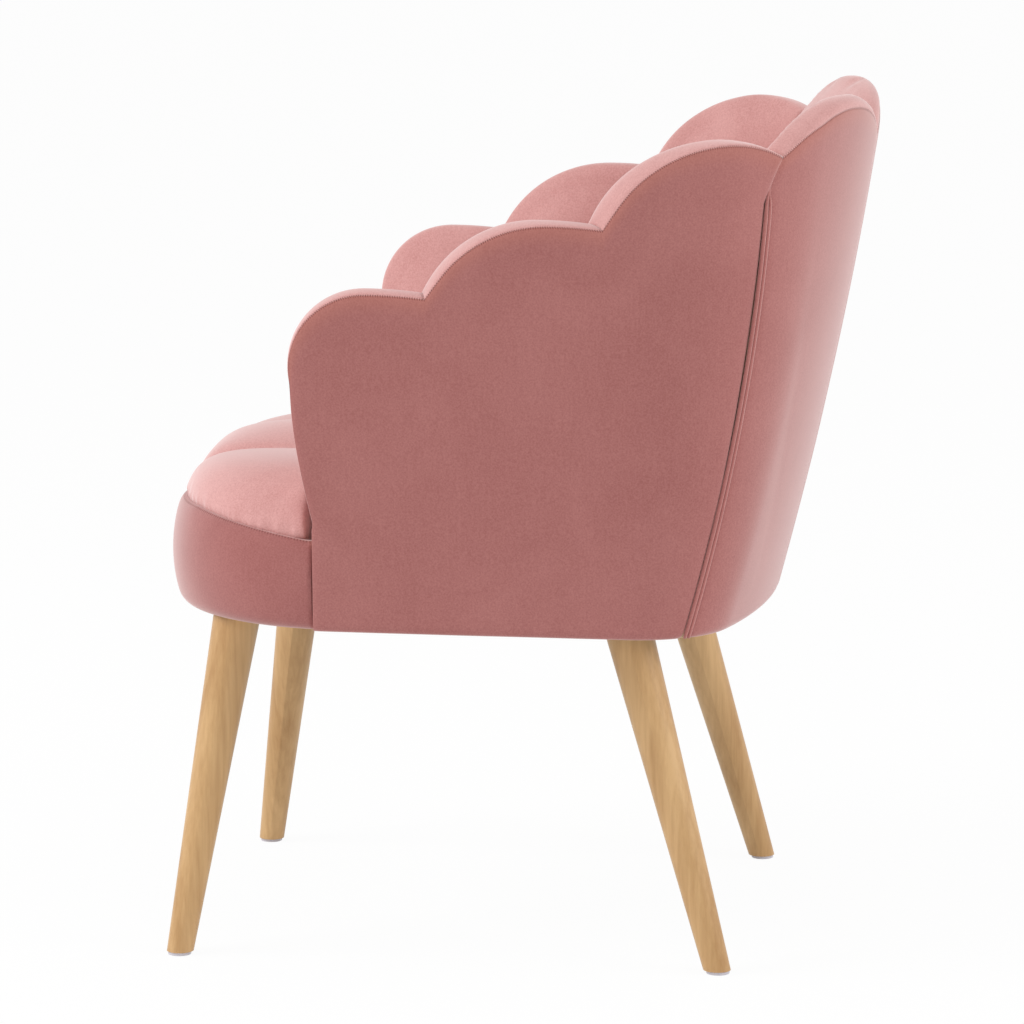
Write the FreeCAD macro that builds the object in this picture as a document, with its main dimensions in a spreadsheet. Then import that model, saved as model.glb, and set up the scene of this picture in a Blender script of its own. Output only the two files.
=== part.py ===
import FreeCAD, Part
import math
import os
from FreeCAD import Placement, Rotation, Vector

# Scallop back chair: a small upholstered tub chair on four splayed round legs.
# Millimetres. Z is up, the chair faces -Y, +X is the sitter's left-hand side.
# The origin is on the floor, under the middle of the chair's overall box.

os.makedirs("parts", exist_ok=True)
doc = FreeCAD.newDocument("scallop_back_chair")
sheet = doc.addObject("Spreadsheet::Sheet", "sizes")

DRIVING_SIZES = (
    # Tub: the outer face of the upholstery, between two heights
    ("underside_height", 308),
    ("plan_top_height", 790),
    ("half_width_low", 252),
    ("half_width_high", 277),
    ("back_reach_low", 230),
    ("back_reach_high", 325),
    ("back_bow", 14.5),
    ("corner_radius_low", 85),
    ("corner_radius_high", 222),
    ("back_radius_low", 700),
    ("back_radius_high", 322),
    ("arm_front", 162),
    ("arm_front_lean", 18),
    ("arm_shoulder_height", 532),
    # Scallops: how far round each valley lies, as a share of half the rim, and how
    # far the valleys and peaks are below the top of the plan
    ("valley_share_one", 0.186),
    ("valley_share_two", 0.42),
    ("valley_share_three", 0.672),
    ("valley_drop_one", 175),
    ("valley_drop_two", 112),
    ("valley_drop_three", 52),
    ("valley_drop_four", 41),
    ("peak_drop_one", 172),
    ("peak_drop_two", 109),
    ("peak_drop_three", 39),
    ("peak_drop_four", 9),
    ("peak_share_one", 0.57),
    ("peak_share_two", 0.69),
    ("peak_share_three", 0.67),
    ("peak_share_four", 0.5),
    # Layers, from the outer cover inwards
    ("cover_thickness", 8),
    ("board_thickness", 9),
    ("petal_valley_depth", 20),
    ("petal_crown_depth", 47),
    ("petal_rim_depth", 15),
    ("rim_closing", 115),
    ("petal_tuck", 0.88),
    ("ridge_depth", 22),
    ("rim_roll", 9),
    ("board_below_rim", 14),
    ("petal_lift", 7),
    ("petal_front_cover", 6),
    ("soft_clearance", 0.3),
    # Double welt between the outside arms and the outside back
    ("welt_bead_radius", 1.9),
    ("welt_top_drop", 94),
    ("welt_sink", 1),
    ("welt_reach_low", 236),
    ("welt_reach_high", 218),
    # Seat
    ("seat_half_width", 245),
    ("seat_front", 313),
    ("seat_corner_radius", 170),
    ("seat_seam_height", 405),
    ("seat_rise", 40),
    ("seat_channel", 68),
    ("seat_channel_radius", 9),
    ("seat_dome_reach", 105),
    ("border_thickness", 10),
    ("border_bulge", 9),
    # Frame
    ("rail_thickness", 22),
    ("deck_drop", 20),
    ("block_share", 0.585),
    ("front_block_depth", 60),
    ("front_block_start", 72),
    ("rear_block_start", 50),
    ("rear_block_inner", 148),
    ("web_width", 50),
    ("web_thickness", 2),
    ("web_pitch_across", 110),
    ("web_pitch_along", 96),
    ("web_shift", 20),
    ("web_end_inset", 4),
    ("dust_cover_thickness", 1),
    ("dust_cover_inset", 14),
    ("dust_cover_leg_gap", 2.5),
    # Legs and their fittings
    ("front_foot_x", 222),
    ("front_foot_y", -293),
    ("front_leg_x", 168),
    ("front_leg_y", -247),
    ("rear_foot_x", 220),
    ("rear_foot_y", 200),
    ("rear_leg_x", 185),
    ("rear_leg_y", 113),
    ("leg_top_radius", 21.5),
    ("leg_foot_radius", 12),
    ("glide_radius", 10.5),
    ("glide_thickness", 3),
    ("nail_radius", 1.2),
    ("nail_length", 14),
    ("bolt_radius", 4),
    ("bolt_in_leg", 34),
    ("bolt_above_block", 4),
    ("nut_flange_radius", 11),
    ("nut_flange_thickness", 1.5),
    ("nut_barrel_radius", 5.5),
    ("nut_barrel_length", 11),
    ("hole_clearance", 0.1),
    # Screws that hold the shell board to the rails
    ("screw_radius", 2),
    ("screw_length", 28),
    ("screw_head_radius", 4.2),
    ("screw_head_height", 3),
    ("screw_recess", 1.2),
    ("screw_share", 0.48),
    ("screw_pitch", 75),
    ("screw_shift", 40),
)

# Sizes that follow from the ones above
FOLLOWING_SIZES = (
    ("seat_crest_height", "=seat_seam_height + seat_rise"),
    ("rail_height", "=seat_seam_height - underside_height - deck_drop"),
    ("block_height", "=rail_height * block_share"),
    ("screw_height", "=underside_height + rail_height * screw_share"),
    ("petal_bottom_height", "=underside_height + rail_height + petal_lift"),
    ("welt_top_height", "=plan_top_height - welt_top_drop"),
)
for row, (alias, number) in enumerate(DRIVING_SIZES + FOLLOWING_SIZES, start=1):
    sheet.set("A%d" % row, alias)
    sheet.set("B%d" % row, str(number))
    sheet.setAlias("B%d" % row, alias)
doc.recompute()

RIGHT_TO_LEFT = Vector(1, 0, 0)
UP = Vector(0, 0, 1)
MAKING_ALLOWANCE = 60
pieces = []


def size(alias):
    return float(sheet.get(alias))


def keep(piece, label):
    """Give a finished piece its name and put it on the list to export."""
    piece.Label = label
    pieces.append(piece)
    return piece


def shaped(label, shape):
    """A piece whose form is worked out from the sheet's values."""
    piece = doc.addObject("Part::Feature", label)
    piece.Shape = shape
    piece.Placement = Placement()
    return keep(piece, label)


def mirrored(label, source):
    """The same piece for the other side of the chair."""
    piece = doc.addObject("Part::Mirroring", label)
    piece.Source = source
    piece.Normal = RIGHT_TO_LEFT
    return keep(piece, label)


def between(low, high, share):
    return low + (high - low) * share


# The tub's plan at a height: straight sides, a corner arc on each side and one
# wide arc across the back, all tangent, moved inwards by an inset

class Plan:
    def __init__(self, height, inset=0.0):
        share = (height - size("underside_height"))
        share /= size("plan_top_height") - size("underside_height")
        bow = 4 * size("back_bow") * share * (1 - share)
        self.height = height
        self.half_width = between(size("half_width_low"), size("half_width_high"), share) - inset
        self.back = between(size("back_reach_low"), size("back_reach_high"), share) + bow - inset
        self.corner_radius = between(size("corner_radius_low"), size("corner_radius_high"), share) - inset
        self.back_radius = between(size("back_radius_low"), size("back_radius_high"), share) - inset
        self.back_centre_y = self.back - self.back_radius
        self.corner_x = self.half_width - self.corner_radius
        reach = self.back_radius - self.corner_radius
        rise = math.sqrt(reach ** 2 - self.corner_x ** 2)
        self.corner_y = self.back_centre_y + rise
        self.turn = math.atan2(rise, self.corner_x)
        self.front = self.arm_front(height)

    @staticmethod
    def arm_front(height):
        """The arm's front edge is upright below the seat and leans forward above it."""
        start = size("seat_seam_height")
        share = max(0.0, (height - start) / (size("arm_shoulder_height") - start))
        return -(size("arm_front") + size("arm_front_lean") * min(share, 1.0))

    def half_length(self):
        side = self.corner_y - self.front
        corner = self.corner_radius * self.turn
        back = self.back_radius * (math.pi / 2 - self.turn)
        return side + corner + back

    def at(self, share):
        """Point and outward direction at a share of the way from arm front to mid back."""
        run = share * self.half_length()
        side = self.corner_y - self.front
        if run <= side:
            return Vector(self.half_width, self.front + run, self.height), Vector(1, 0, 0)
        run -= side
        if run <= self.corner_radius * self.turn:
            angle = run / self.corner_radius
            out = Vector(math.cos(angle), math.sin(angle), 0)
            centre = Vector(self.corner_x, self.corner_y, self.height)
            return centre + out * self.corner_radius, out
        run -= self.corner_radius * self.turn
        angle = self.turn + run / self.back_radius
        out = Vector(math.cos(angle), math.sin(angle), 0)
        return Vector(0, self.back_centre_y, self.height) + out * self.back_radius, out

    def back_edges(self):
        """Corner arc, back arc and corner arc, from the left side to the right side."""
        centre = Vector(self.corner_x, self.corner_y, self.height)
        start = centre + Vector(self.corner_radius, 0, 0)
        half = Vector(math.cos(self.turn / 2), math.sin(self.turn / 2), 0)
        full = Vector(math.cos(self.turn), math.sin(self.turn), 0)
        middle = centre + half * self.corner_radius
        end = centre + full * self.corner_radius
        back = Vector(0, self.back, self.height)

        def flip(point):
            return Vector(-point.x, point.y, point.z)

        return [
            Part.Arc(start, middle, end).toShape(),
            Part.Arc(end, back, flip(end)).toShape(),
            Part.Arc(flip(end), flip(middle), flip(start)).toShape(),
        ]

    def closed(self, front):
        """The whole plan as one closed wire, with a straight front."""
        side = Vector(self.half_width, front, self.height)
        start = Vector(self.half_width, self.corner_y, self.height)
        other = Vector(-self.half_width, self.corner_y, self.height)
        far = Vector(-self.half_width, front, self.height)
        edges = [Part.LineSegment(side, start).toShape()]
        edges += self.back_edges()
        edges.append(Part.LineSegment(other, far).toShape())
        edges.append(Part.LineSegment(far, side).toShape())
        return Part.Wire(edges)


TUB_FRONT = -(size("arm_front") + size("arm_front_lean") + MAKING_ALLOWANCE)
TUB_TOP = size("plan_top_height") + MAKING_ALLOWANCE / 3
TUB_STEPS = 5
RIGHT_THROUGH = 2 * TUB_TOP


def tub_block(inset):
    """The solid inside the tub's face, moved inwards by an inset."""
    wires = []
    for step in range(TUB_STEPS):
        height = between(size("underside_height"), TUB_TOP, step / (TUB_STEPS - 1))
        wires.append(Plan(height, inset).closed(TUB_FRONT))
    return Part.makeLoft(wires, True, False)


# The scalloped rim: each petal's top is a steep arc up to its peak and a flatter
# one down to the next valley, in the upright plane through its two valleys

PETALS = ("front", "side", "corner", "back")
VALLEY_SHARES = (0.0, size("valley_share_one"), size("valley_share_two"), size("valley_share_three"), 1.0)
ORDER = ("one", "two", "three", "four")
RIM_TOP = size("plan_top_height")
VALLEY_HEIGHTS = (size("arm_shoulder_height"), *(RIM_TOP - size("valley_drop_" + word) for word in ORDER))
PEAK_HEIGHTS = tuple(RIM_TOP - size("peak_drop_" + word) for word in ORDER)
PEAK_SHARES = tuple(size("peak_share_" + word) for word in ORDER)
ARCH_BASE = size("underside_height") - MAKING_ALLOWANCE
ARCH_OVERRUN = 14
ARCH_HALF_DEPTH = 130


def valley_point(index):
    plan = Plan(VALLEY_HEIGHTS[index], size("ridge_depth"))
    return plan.at(VALLEY_SHARES[index])[0]


def arc_through(start, peak, towards):
    """Arc from a start point that ends level at the peak, both given as (run, rise)."""
    run = peak[0] - start[0]
    rise = peak[1] - start[1]
    radius = (run ** 2 + rise ** 2) / (2 * rise)
    angle = math.asin(max(-1.0, min(1.0, run / radius)))
    if rise > radius:
        angle = math.copysign(math.pi, angle) - angle
    centre = (peak[0], peak[1] - radius)
    middle = (centre[0] - radius * math.sin(angle / 2), centre[1] + radius * math.cos(angle / 2))
    return Part.Arc(towards(start), towards(middle), towards(peak)).toShape()


def arch_prism(index, inset=0.0):
    """The upright slab that trims one petal of the sitter's left half to its outline."""
    first = valley_point(index)
    second = valley_point(index + 1)
    along = Vector(second.x - first.x, second.y - first.y, 0)
    length = along.Length
    along.normalize()
    out = Vector(along.y, -along.x, 0)
    origin = Vector(first.x, first.y, 0) - out * ARCH_HALF_DEPTH

    def towards(point):
        return origin + along * point[0] + UP * point[1]

    first_height = VALLEY_HEIGHTS[index] - (0 if index == 0 else inset)
    start = (inset if index == 0 else 0.0, first_height)
    peak = (length * PEAK_SHARES[index], PEAK_HEIGHTS[index] - inset)
    end = (length, VALLEY_HEIGHTS[index + 1] - inset)
    overrun = 0 if index == 3 else ARCH_OVERRUN
    if index == 0:
        front = (size("arm_front_lean"), size("seat_seam_height"))
        corners = [
            (front[0], ARCH_BASE),
            front,
            (front[0] + inset, front[1]),
            start,
        ]
        corners = corners if inset else [corners[0], corners[1], corners[3]]
    else:
        corners = [(-ARCH_OVERRUN, ARCH_BASE), (-ARCH_OVERRUN, start[1] - 2 * ARCH_OVERRUN), start]
    last = (end[0] + overrun, end[1] - overrun / 2)
    closing = [end, last, (last[0], ARCH_BASE)] if overrun else [end, (end[0], ARCH_BASE)]
    edges = []
    for one, two in zip(corners, corners[1:]):
        edges.append(Part.LineSegment(towards(one), towards(two)).toShape())
    edges.append(arc_through(start, peak, towards))
    falling = arc_through(end, peak, towards)
    edges.append(falling)
    for one, two in zip(closing, closing[1:]):
        edges.append(Part.LineSegment(towards(one), towards(two)).toShape())
    edges.append(Part.LineSegment(towards(closing[-1]), towards(corners[0])).toShape())
    face = Part.Face(Part.Wire(Part.__sortEdges__(edges)))
    return face.extrude(out * (2 * ARCH_HALF_DEPTH))


def other_side(shape):
    return shape.mirror(Vector(0, 0, 0), RIGHT_TO_LEFT)


def region(x_low, x_high, y_low, y_high):
    """Everything between two places across the chair and two along it."""
    return Part.makeBox(x_high - x_low, y_high - y_low, RIGHT_THROUGH, Vector(x_low, y_low, 0))


LEFT_HALF = region(0, RIGHT_THROUGH, -RIGHT_THROUGH, RIGHT_THROUGH)


def rim_solid(inset):
    """Everything under the scalloped rim, both halves, moved inwards by an inset."""
    prisms = [arch_prism(index, inset) for index in range(4)]
    half = prisms[0].multiFuse(prisms[1:]).common(LEFT_HALF)
    return half.fuse(other_side(half)).removeSplitter()


cover = size("cover_thickness")
board = size("board_thickness")
gap = size("soft_clearance")
outer_block = tub_block(0)
board_outer = tub_block(cover)
board_inner = tub_block(cover + board)
pad_limit = tub_block(cover + board + gap)
cover_limit = tub_block(cover - gap)

# Screws through the shell board into the seat frame, as (point, inward direction)

low_plan = Plan(size("screw_height"), cover)
screw_places = []
for side in (-1, 1):
    for step in (-1, 0, 1):
        along = step * size("screw_pitch") - size("screw_shift")
        place = Vector(side * low_plan.half_width, along, size("screw_height"))
        screw_places.append((place, Vector(-side, 0, 0)))
for step in (-1, 0, 1):
    reach = step * size("screw_pitch")
    depth = low_plan.back_centre_y + math.sqrt(low_plan.back_radius ** 2 - reach ** 2)
    screw_places.append((Vector(reach, depth, size("screw_height")), Vector(0, -1, 0)))


def screw_solid(place, inward, clearance=0.0):
    """A countersunk screw, or the hole for it where there is a clearance, open outwards."""
    head = size("screw_head_radius") + clearance
    shank = size("screw_radius") + clearance
    top = place + inward * (size("screw_recess") - clearance)
    cone = Part.makeCone(head, shank, size("screw_head_height"), top, inward)
    pin = Part.makeCylinder(shank, size("screw_length") + clearance, top, inward)
    if clearance:
        pin = pin.fuse(Part.makeCylinder(head, cover, top, -inward))
    return cone.fuse(pin).removeSplitter()


screw_holes = Part.makeCompound([
    screw_solid(place, inward, size("hole_clearance")) for place, inward in screw_places
])

# Shell board: a thin plywood shell bent round the seat, its top cut in scallops

shell = board_outer.cut(board_inner).common(rim_solid(size("board_below_rim")))
shaped("shell_board", shell.cut(screw_holes))

# Outer covers: the two outside arms and the outside back, split at the welts

cover_shell = outer_block.cut(cover_limit).common(rim_solid(size("rim_roll")))
seam_half = 2 * size("welt_bead_radius") + 0.2


def seam_line(height):
    """How far the welt seam stands from the middle plane at a height."""
    share = (height - size("underside_height"))
    share /= size("welt_top_height") - size("underside_height")
    return between(size("welt_reach_low"), size("welt_reach_high"), share)


def seam_wedge(offset):
    """Everything between the two welt seams, widened by an offset."""
    low = ARCH_BASE
    high = TUB_TOP + MAKING_ALLOWANCE
    corners = [
        Vector(seam_line(low) + offset, 0, low),
        Vector(seam_line(high) + offset, 0, high),
        Vector(-seam_line(high) - offset, 0, high),
        Vector(-seam_line(low) - offset, 0, low),
    ]
    face = Part.Face(Part.makePolygon(corners + corners[:1]))
    return face.extrude(Vector(0, 2 * size("back_reach_high"), 0))


shaped("outside_back_cover", cover_shell.common(seam_wedge(-seam_half)))
arm_covers = cover_shell.cut(seam_wedge(seam_half))
outside_left = shaped("outside_arm_cover_left", arm_covers.common(LEFT_HALF))
mirrored("outside_arm_cover_right", outside_left)


def face_depth(height, reach):
    """Where the outer face stands at a height, that far from the middle plane."""
    plan = Plan(height)
    across = reach - plan.corner_x
    return plan.corner_y + math.sqrt(plan.corner_radius ** 2 - across ** 2)


def welt_bead(offset):
    """One bead of the double welt, along an arc fitted to the outer face."""
    points = []
    for share in (0.0, 0.5, 1.0):
        height = between(size("underside_height") + size("welt_sink"), size("welt_top_height"), share)
        reach = seam_line(height) + offset
        points.append(Vector(reach, face_depth(height, reach) - size("welt_sink"), height))
    path = Part.Wire([Part.Arc(points[0], points[1], points[2]).toShape()])
    start = path.Edges[0].tangentAt(path.Edges[0].FirstParameter)
    ring = Part.Wire([Part.makeCircle(size("welt_bead_radius"), points[0], start)])
    return path.makePipeShell([ring], True, True)


bead_step = size("welt_bead_radius")
welt = welt_bead(-bead_step).fuse(welt_bead(bead_step * 1.02))
welt_left = shaped("welt_left", welt)
mirrored("welt_right", welt_left)

# Petals: eight padded channels round the inside, each thick in the middle, drawn
# in at its two seams and thinning to the rim, where it rolls over the shell board

lip_zone = rim_solid(size("rim_roll") - gap).cut(pad_limit)
PAD_LEVELS = (0.0, 0.17, 0.34, 0.51, 0.66, 0.79, 0.9, 1.0)
SEAM_GAP = 0.002


def fullness_at(index, height):
    """How far a petal swells at a height: tucked in beside the seat, full above it,
    closing in a curve to its peak."""
    below = (PEAK_HEIGHTS[index] - height) / size("rim_closing")
    above = (height - size("petal_bottom_height")) / size("rim_closing")
    closing = math.sin(math.pi / 2 * max(0.0, min(1.0, below)))
    return closing * between(size("petal_tuck"), 1.0, min(1.0, above))


def petal_section(index, height):
    """One level cut through a petal, open past the outer face."""
    fullness = fullness_at(index, height)
    plan = Plan(height, cover + board)
    first_share = VALLEY_SHARES[index] + SEAM_GAP / 4
    second_share = VALLEY_SHARES[index + 1] - SEAM_GAP / 4
    first, first_out = plan.at(first_share)
    second, second_out = plan.at(second_share)
    middle, middle_out = plan.at((first_share + second_share) / 2)
    valley = between(size("petal_rim_depth") * 0.8, size("petal_valley_depth"), min(1.0, fullness * 1.5))
    crown = between(size("petal_rim_depth"), size("petal_crown_depth"), fullness)
    beyond = cover + board + MAKING_ALLOWANCE / 3
    if index == 0:
        first = first - Vector(0, size("petal_front_cover"), 0)
    inner_first = first - first_out * valley
    inner_second = second - second_out * valley
    crest = middle - middle_out * crown
    outer_first = first + first_out * beyond
    outer_second = second + second_out * beyond
    outer_middle = middle + middle_out * beyond
    return Part.Wire([
        Part.Arc(inner_first, crest, inner_second).toShape(),
        Part.LineSegment(inner_second, outer_second).toShape(),
        Part.LineSegment(outer_second, outer_middle).toShape(),
        Part.LineSegment(outer_middle, outer_first).toShape(),
        Part.LineSegment(outer_first, inner_first).toShape(),
    ])


def petal_solid(index):
    wires = []
    for level in PAD_LEVELS:
        height = between(size("petal_bottom_height"), TUB_TOP - 2, level)
        wires.append(petal_section(index, height))
    pad = Part.makeLoft(wires, True, True)
    return pad.common(outer_block).common(arch_prism(index)).cut(lip_zone)


for index, name in enumerate(PETALS):
    petal = shaped("petal_left_" + name, petal_solid(index))
    mirrored("petal_right_" + name, petal)

# Seat plan: a straight front edge, two large round corners and straight sides

def front_edges(inset, height, back):
    """The seat's front outline from the sitter's right side round to the left side."""
    half = size("seat_half_width") - inset
    radius = size("seat_corner_radius") - inset
    centre_x = half - radius
    centre_y = -size("seat_front") + inset + radius
    slant = radius * math.sqrt(0.5)
    right_back = Vector(-half, back, height)
    right_side = Vector(-half, centre_y, height)
    right_mid = Vector(-centre_x - slant, centre_y - slant, height)
    right_front = Vector(-centre_x, centre_y - radius, height)
    left_front = Vector(centre_x, centre_y - radius, height)
    left_mid = Vector(centre_x + slant, centre_y - slant, height)
    left_side = Vector(half, centre_y, height)
    left_back = Vector(half, back, height)
    return [
        Part.LineSegment(right_back, right_side).toShape(),
        Part.Arc(right_side, right_mid, right_front).toShape(),
        Part.LineSegment(right_front, left_front).toShape(),
        Part.Arc(left_front, left_mid, left_side).toShape(),
        Part.LineSegment(left_side, left_back).toShape(),
    ]


seat_corner_y = -size("seat_front") + size("seat_corner_radius")
tub_face_inset = cover + board + size("petal_crown_depth") + 2
crest = size("seat_crest_height")
seam = size("seat_seam_height")


DOME_LEVELS = (0.0, 0.08, 0.17, 0.28, 0.41, 0.57, 0.76, 1.0)


def seat_outline(inset, height, back):
    """The seat's closed outline, moved inwards by an inset, with a straight back."""
    half = size("seat_half_width") - inset
    closing = Part.LineSegment(Vector(half, back, height), Vector(-half, back, height)).toShape()
    return Part.Wire(Part.__sortEdges__(front_edges(inset, height, back) + [closing]))


def dome_rise(level):
    """How much of its rise the seat has reached, at a share of the way in from its edge."""
    return 1 - (1 - level) ** 2


def seat_plan_solid(inset, low, high):
    """The room for the seat pad: round in front of the arms, inside the petals behind."""
    shoulder = Plan.arm_front(crest) - 4 * gap
    front = Part.Face(seat_outline(inset, low, 0)).extrude(Vector(0, 0, high - low))
    front = front.common(region(-RIGHT_THROUGH, RIGHT_THROUGH, -RIGHT_THROUGH, shoulder))
    rear = Part.Face(Plan(size("petal_bottom_height"), tub_face_inset).closed(shoulder - SHOULDER_OVERLAP))
    rear = rear.extrude(Vector(0, 0, high - low))
    rear.translate(Vector(0, 0, low - size("petal_bottom_height")))
    return front.fuse(rear).removeSplitter()


def seat_channel(reach):
    """The round groove that a sewn channel pulls into the seat's top, from front to back."""
    start = Vector(reach, -size("seat_front") - MAKING_ALLOWANCE / 4, seam - MAKING_ALLOWANCE / 5)
    points = [start]
    for level in DOME_LEVELS:
        depth = level * size("seat_dome_reach") - size("seat_front")
        points.append(Vector(reach, depth, between(seam, crest, dome_rise(level))))
    points.append(Vector(reach, size("back_reach_high"), crest))
    curve = Part.BSplineCurve()
    curve.interpolate(points)
    path = Part.Wire([curve.toShape()])
    ring = Part.Wire([Part.makeCircle(size("seat_channel_radius"), start, points[1] - start)])
    return path.makePipeShell([ring], True, True)


SHOULDER_OVERLAP = 5
dome_wires = []
for level in DOME_LEVELS:
    height = between(seam, crest, dome_rise(level))
    dome_wires.append(seat_outline(level * size("seat_dome_reach"), height, size("back_reach_high")))
seat_top = Part.makeLoft(dome_wires, True, True).common(seat_plan_solid(0, seam, crest))
for side in (-1, 1):
    seat_top = seat_top.cut(seat_channel(side * size("seat_channel")))
seat_underside = size("underside_height") + size("rail_height") + 2 * size("web_thickness") + 2 * gap
seat_core = seat_plan_solid(size("border_thickness") + gap, seat_underside, seam)
shaped("seat_pad", seat_top.fuse(seat_core))

# Seat border: the plain padded band round the front, below the seat's seam

border_top = seam - gap
border_low = size("underside_height") + gap
half = size("seat_half_width") - size("border_thickness")
band_wire = front_edges(size("border_thickness"), border_low, 0)
path = Part.Wire(Part.__sortEdges__(band_wire))
outer_low = Vector(-half - size("border_thickness"), 0, border_low)
outer_high = Vector(-half - size("border_thickness"), 0, border_top)
bulge = Vector(outer_low.x - size("border_bulge"), 0, (border_low + border_top) / 2)
inner_low = Vector(-half, 0, border_low)
inner_high = Vector(-half, 0, border_top)
band_profile = Part.Wire([
    Part.Arc(outer_low, bulge, outer_high).toShape(),
    Part.LineSegment(outer_high, inner_high).toShape(),
    Part.LineSegment(inner_high, inner_low).toShape(),
    Part.LineSegment(inner_low, outer_low).toShape(),
])
band = path.makePipeShell([band_profile], True, False)
front_only = region(-RIGHT_THROUGH, RIGHT_THROUGH, -RIGHT_THROUGH, -size("arm_front") - gap)
shaped("seat_border", band.common(front_only))

# Seat frame: one ring of rails and corner blocks inside the border and the board

frame_low = size("underside_height")
frame_inset = size("border_thickness") + gap


def frame_face(inset):
    """The frame's outline at the underside, moved inwards by an inset."""
    plan = Plan(frame_low, cover + board + gap + inset)
    edges = []
    half_width = plan.half_width
    radius = size("seat_corner_radius") - frame_inset - inset
    centre_x = half_width - radius
    centre_y = -size("seat_front") + frame_inset + inset + radius
    slant = radius * math.sqrt(0.5)
    left_rear = Vector(half_width, plan.corner_y, frame_low)
    left_side = Vector(half_width, centre_y, frame_low)
    left_mid = Vector(centre_x + slant, centre_y - slant, frame_low)
    left_front = Vector(centre_x, centre_y - radius, frame_low)
    right_front = Vector(-centre_x, centre_y - radius, frame_low)
    right_mid = Vector(-centre_x - slant, centre_y - slant, frame_low)
    right_side = Vector(-half_width, centre_y, frame_low)
    right_rear = Vector(-half_width, plan.corner_y, frame_low)
    edges.append(Part.LineSegment(right_rear, right_side).toShape())
    edges.append(Part.Arc(right_side, right_mid, right_front).toShape())
    edges.append(Part.LineSegment(right_front, left_front).toShape())
    edges.append(Part.Arc(left_front, left_mid, left_side).toShape())
    edges.append(Part.LineSegment(left_side, left_rear).toShape())
    edges += plan.back_edges()
    return Part.Face(Part.Wire(Part.__sortEdges__(edges)))


def frame_ring(depth, height):
    rise = Vector(0, 0, height)
    return frame_face(0).extrude(rise).cut(frame_face(depth).extrude(rise))


rail_ring = frame_ring(size("rail_thickness"), size("rail_height"))
front_ring = frame_ring(size("front_block_depth"), size("block_height"))
rear_slab = frame_face(0).extrude(Vector(0, 0, size("block_height")))
front_split = size("front_block_start")
rear_split = size("rear_block_start")
rear_inner = size("rear_block_inner")
joint = gap / 3
clear_holes = size("bolt_radius") + size("hole_clearance")


def bolt_hole(x, y):
    hole = Part.makeCylinder(clear_holes, RIGHT_THROUGH, Vector(x, y, 0))
    barrel = Part.makeCylinder(
        size("nut_barrel_radius") + size("hole_clearance"), RIGHT_THROUGH,
        Vector(x, y, frame_low + size("block_height") - size("nut_barrel_length")),
    )
    return hole.fuse(barrel)


front_bolt = bolt_hole(size("front_leg_x"), size("front_leg_y"))
rear_bolt = bolt_hole(size("rear_leg_x"), size("rear_leg_y"))
shaped("seat_front_rail", rail_ring.common(region(-front_split + joint, front_split - joint, -RIGHT_THROUGH, 0)))
side_rail = rail_ring.common(region(0, RIGHT_THROUGH, seat_corner_y + joint, rear_split - joint)).cut(screw_holes)
side_left = shaped("seat_side_rail_left", side_rail)
mirrored("seat_side_rail_right", side_left)
shaped(
    "seat_back_rail",
    rail_ring.common(region(-rear_inner + joint, rear_inner - joint, 0, RIGHT_THROUGH)).cut(screw_holes),
)
front_block = front_ring.common(region(front_split, RIGHT_THROUGH, -RIGHT_THROUGH, seat_corner_y)).cut(front_bolt)
front_left = shaped("corner_block_front_left", front_block)
mirrored("corner_block_front_right", front_left)
rear_block = rear_slab.common(region(rear_inner, RIGHT_THROUGH, rear_split, RIGHT_THROUGH)).cut(rear_bolt)
rear_left = shaped("corner_block_rear_left", rear_block.cut(screw_holes))
mirrored("corner_block_rear_right", rear_left)

# Screws as one group, each in its countersunk hole

shaped("frame_screws", Part.makeCompound([
    screw_solid(place, inward) for place, inward in screw_places
]))

# Elastic webbing: straps from front to back, and straps across on top of them

rail_top = frame_low + size("rail_height")
strap_half = size("web_width") / 2


def strap(band, height):
    """A strap as wide as its band of the seat, cut short inside the frame's edge."""
    sheet_of_web = frame_face(size("web_end_inset")).extrude(Vector(0, 0, size("web_thickness")))
    sheet_of_web.translate(Vector(0, 0, height - frame_low))
    return sheet_of_web.common(band)


lengthwise = []
for step in (-1, 0, 1):
    centre = step * size("web_pitch_across")
    band = region(centre - strap_half, centre + strap_half, -RIGHT_THROUGH, RIGHT_THROUGH)
    lengthwise.append(strap(band, rail_top))
shaped("webbing_lengthwise", Part.makeCompound(lengthwise))
crosswise = []
for step in (-2, -1, 0, 1):
    centre = step * size("web_pitch_along") - size("web_shift")
    band = region(-RIGHT_THROUGH, RIGHT_THROUGH, centre - strap_half, centre + strap_half)
    crosswise.append(strap(band, rail_top + size("web_thickness")))
shaped("webbing_crosswise", Part.makeCompound(crosswise))

# Dust cover: black cloth under the frame, cut round the legs

cover_sheet = frame_face(size("dust_cover_inset")).extrude(Vector(0, 0, -size("dust_cover_thickness")))
for x in (-1, 1):
    for alias in ("front", "rear"):
        leg_hole = Part.makeCylinder(
            size("leg_top_radius") + size("dust_cover_leg_gap"), RIGHT_THROUGH,
            Vector(x * size(alias + "_leg_x"), size(alias + "_leg_y"), 0),
        )
        cover_sheet = cover_sheet.cut(leg_hole)
shaped("dust_cover", cover_sheet)

# Legs: tapered round legs that splay outwards, sawn level at both ends, each
# screwed to its corner block by an upright hanger bolt

slab = doc.addObject("Part::Box", "leg_slab")
slab.setExpression("Length", "sizes.seat_half_width * 4")
slab.setExpression("Width", "sizes.seat_front * 4")
slab.setExpression("Height", "sizes.underside_height - sizes.glide_thickness")
slab.setExpression("Placement.Base.x", "-sizes.seat_half_width * 2")
slab.setExpression("Placement.Base.y", "-sizes.seat_front * 2")
slab.setExpression("Placement.Base.z", "sizes.glide_thickness")

LEG_RUNOUT = 24


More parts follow.
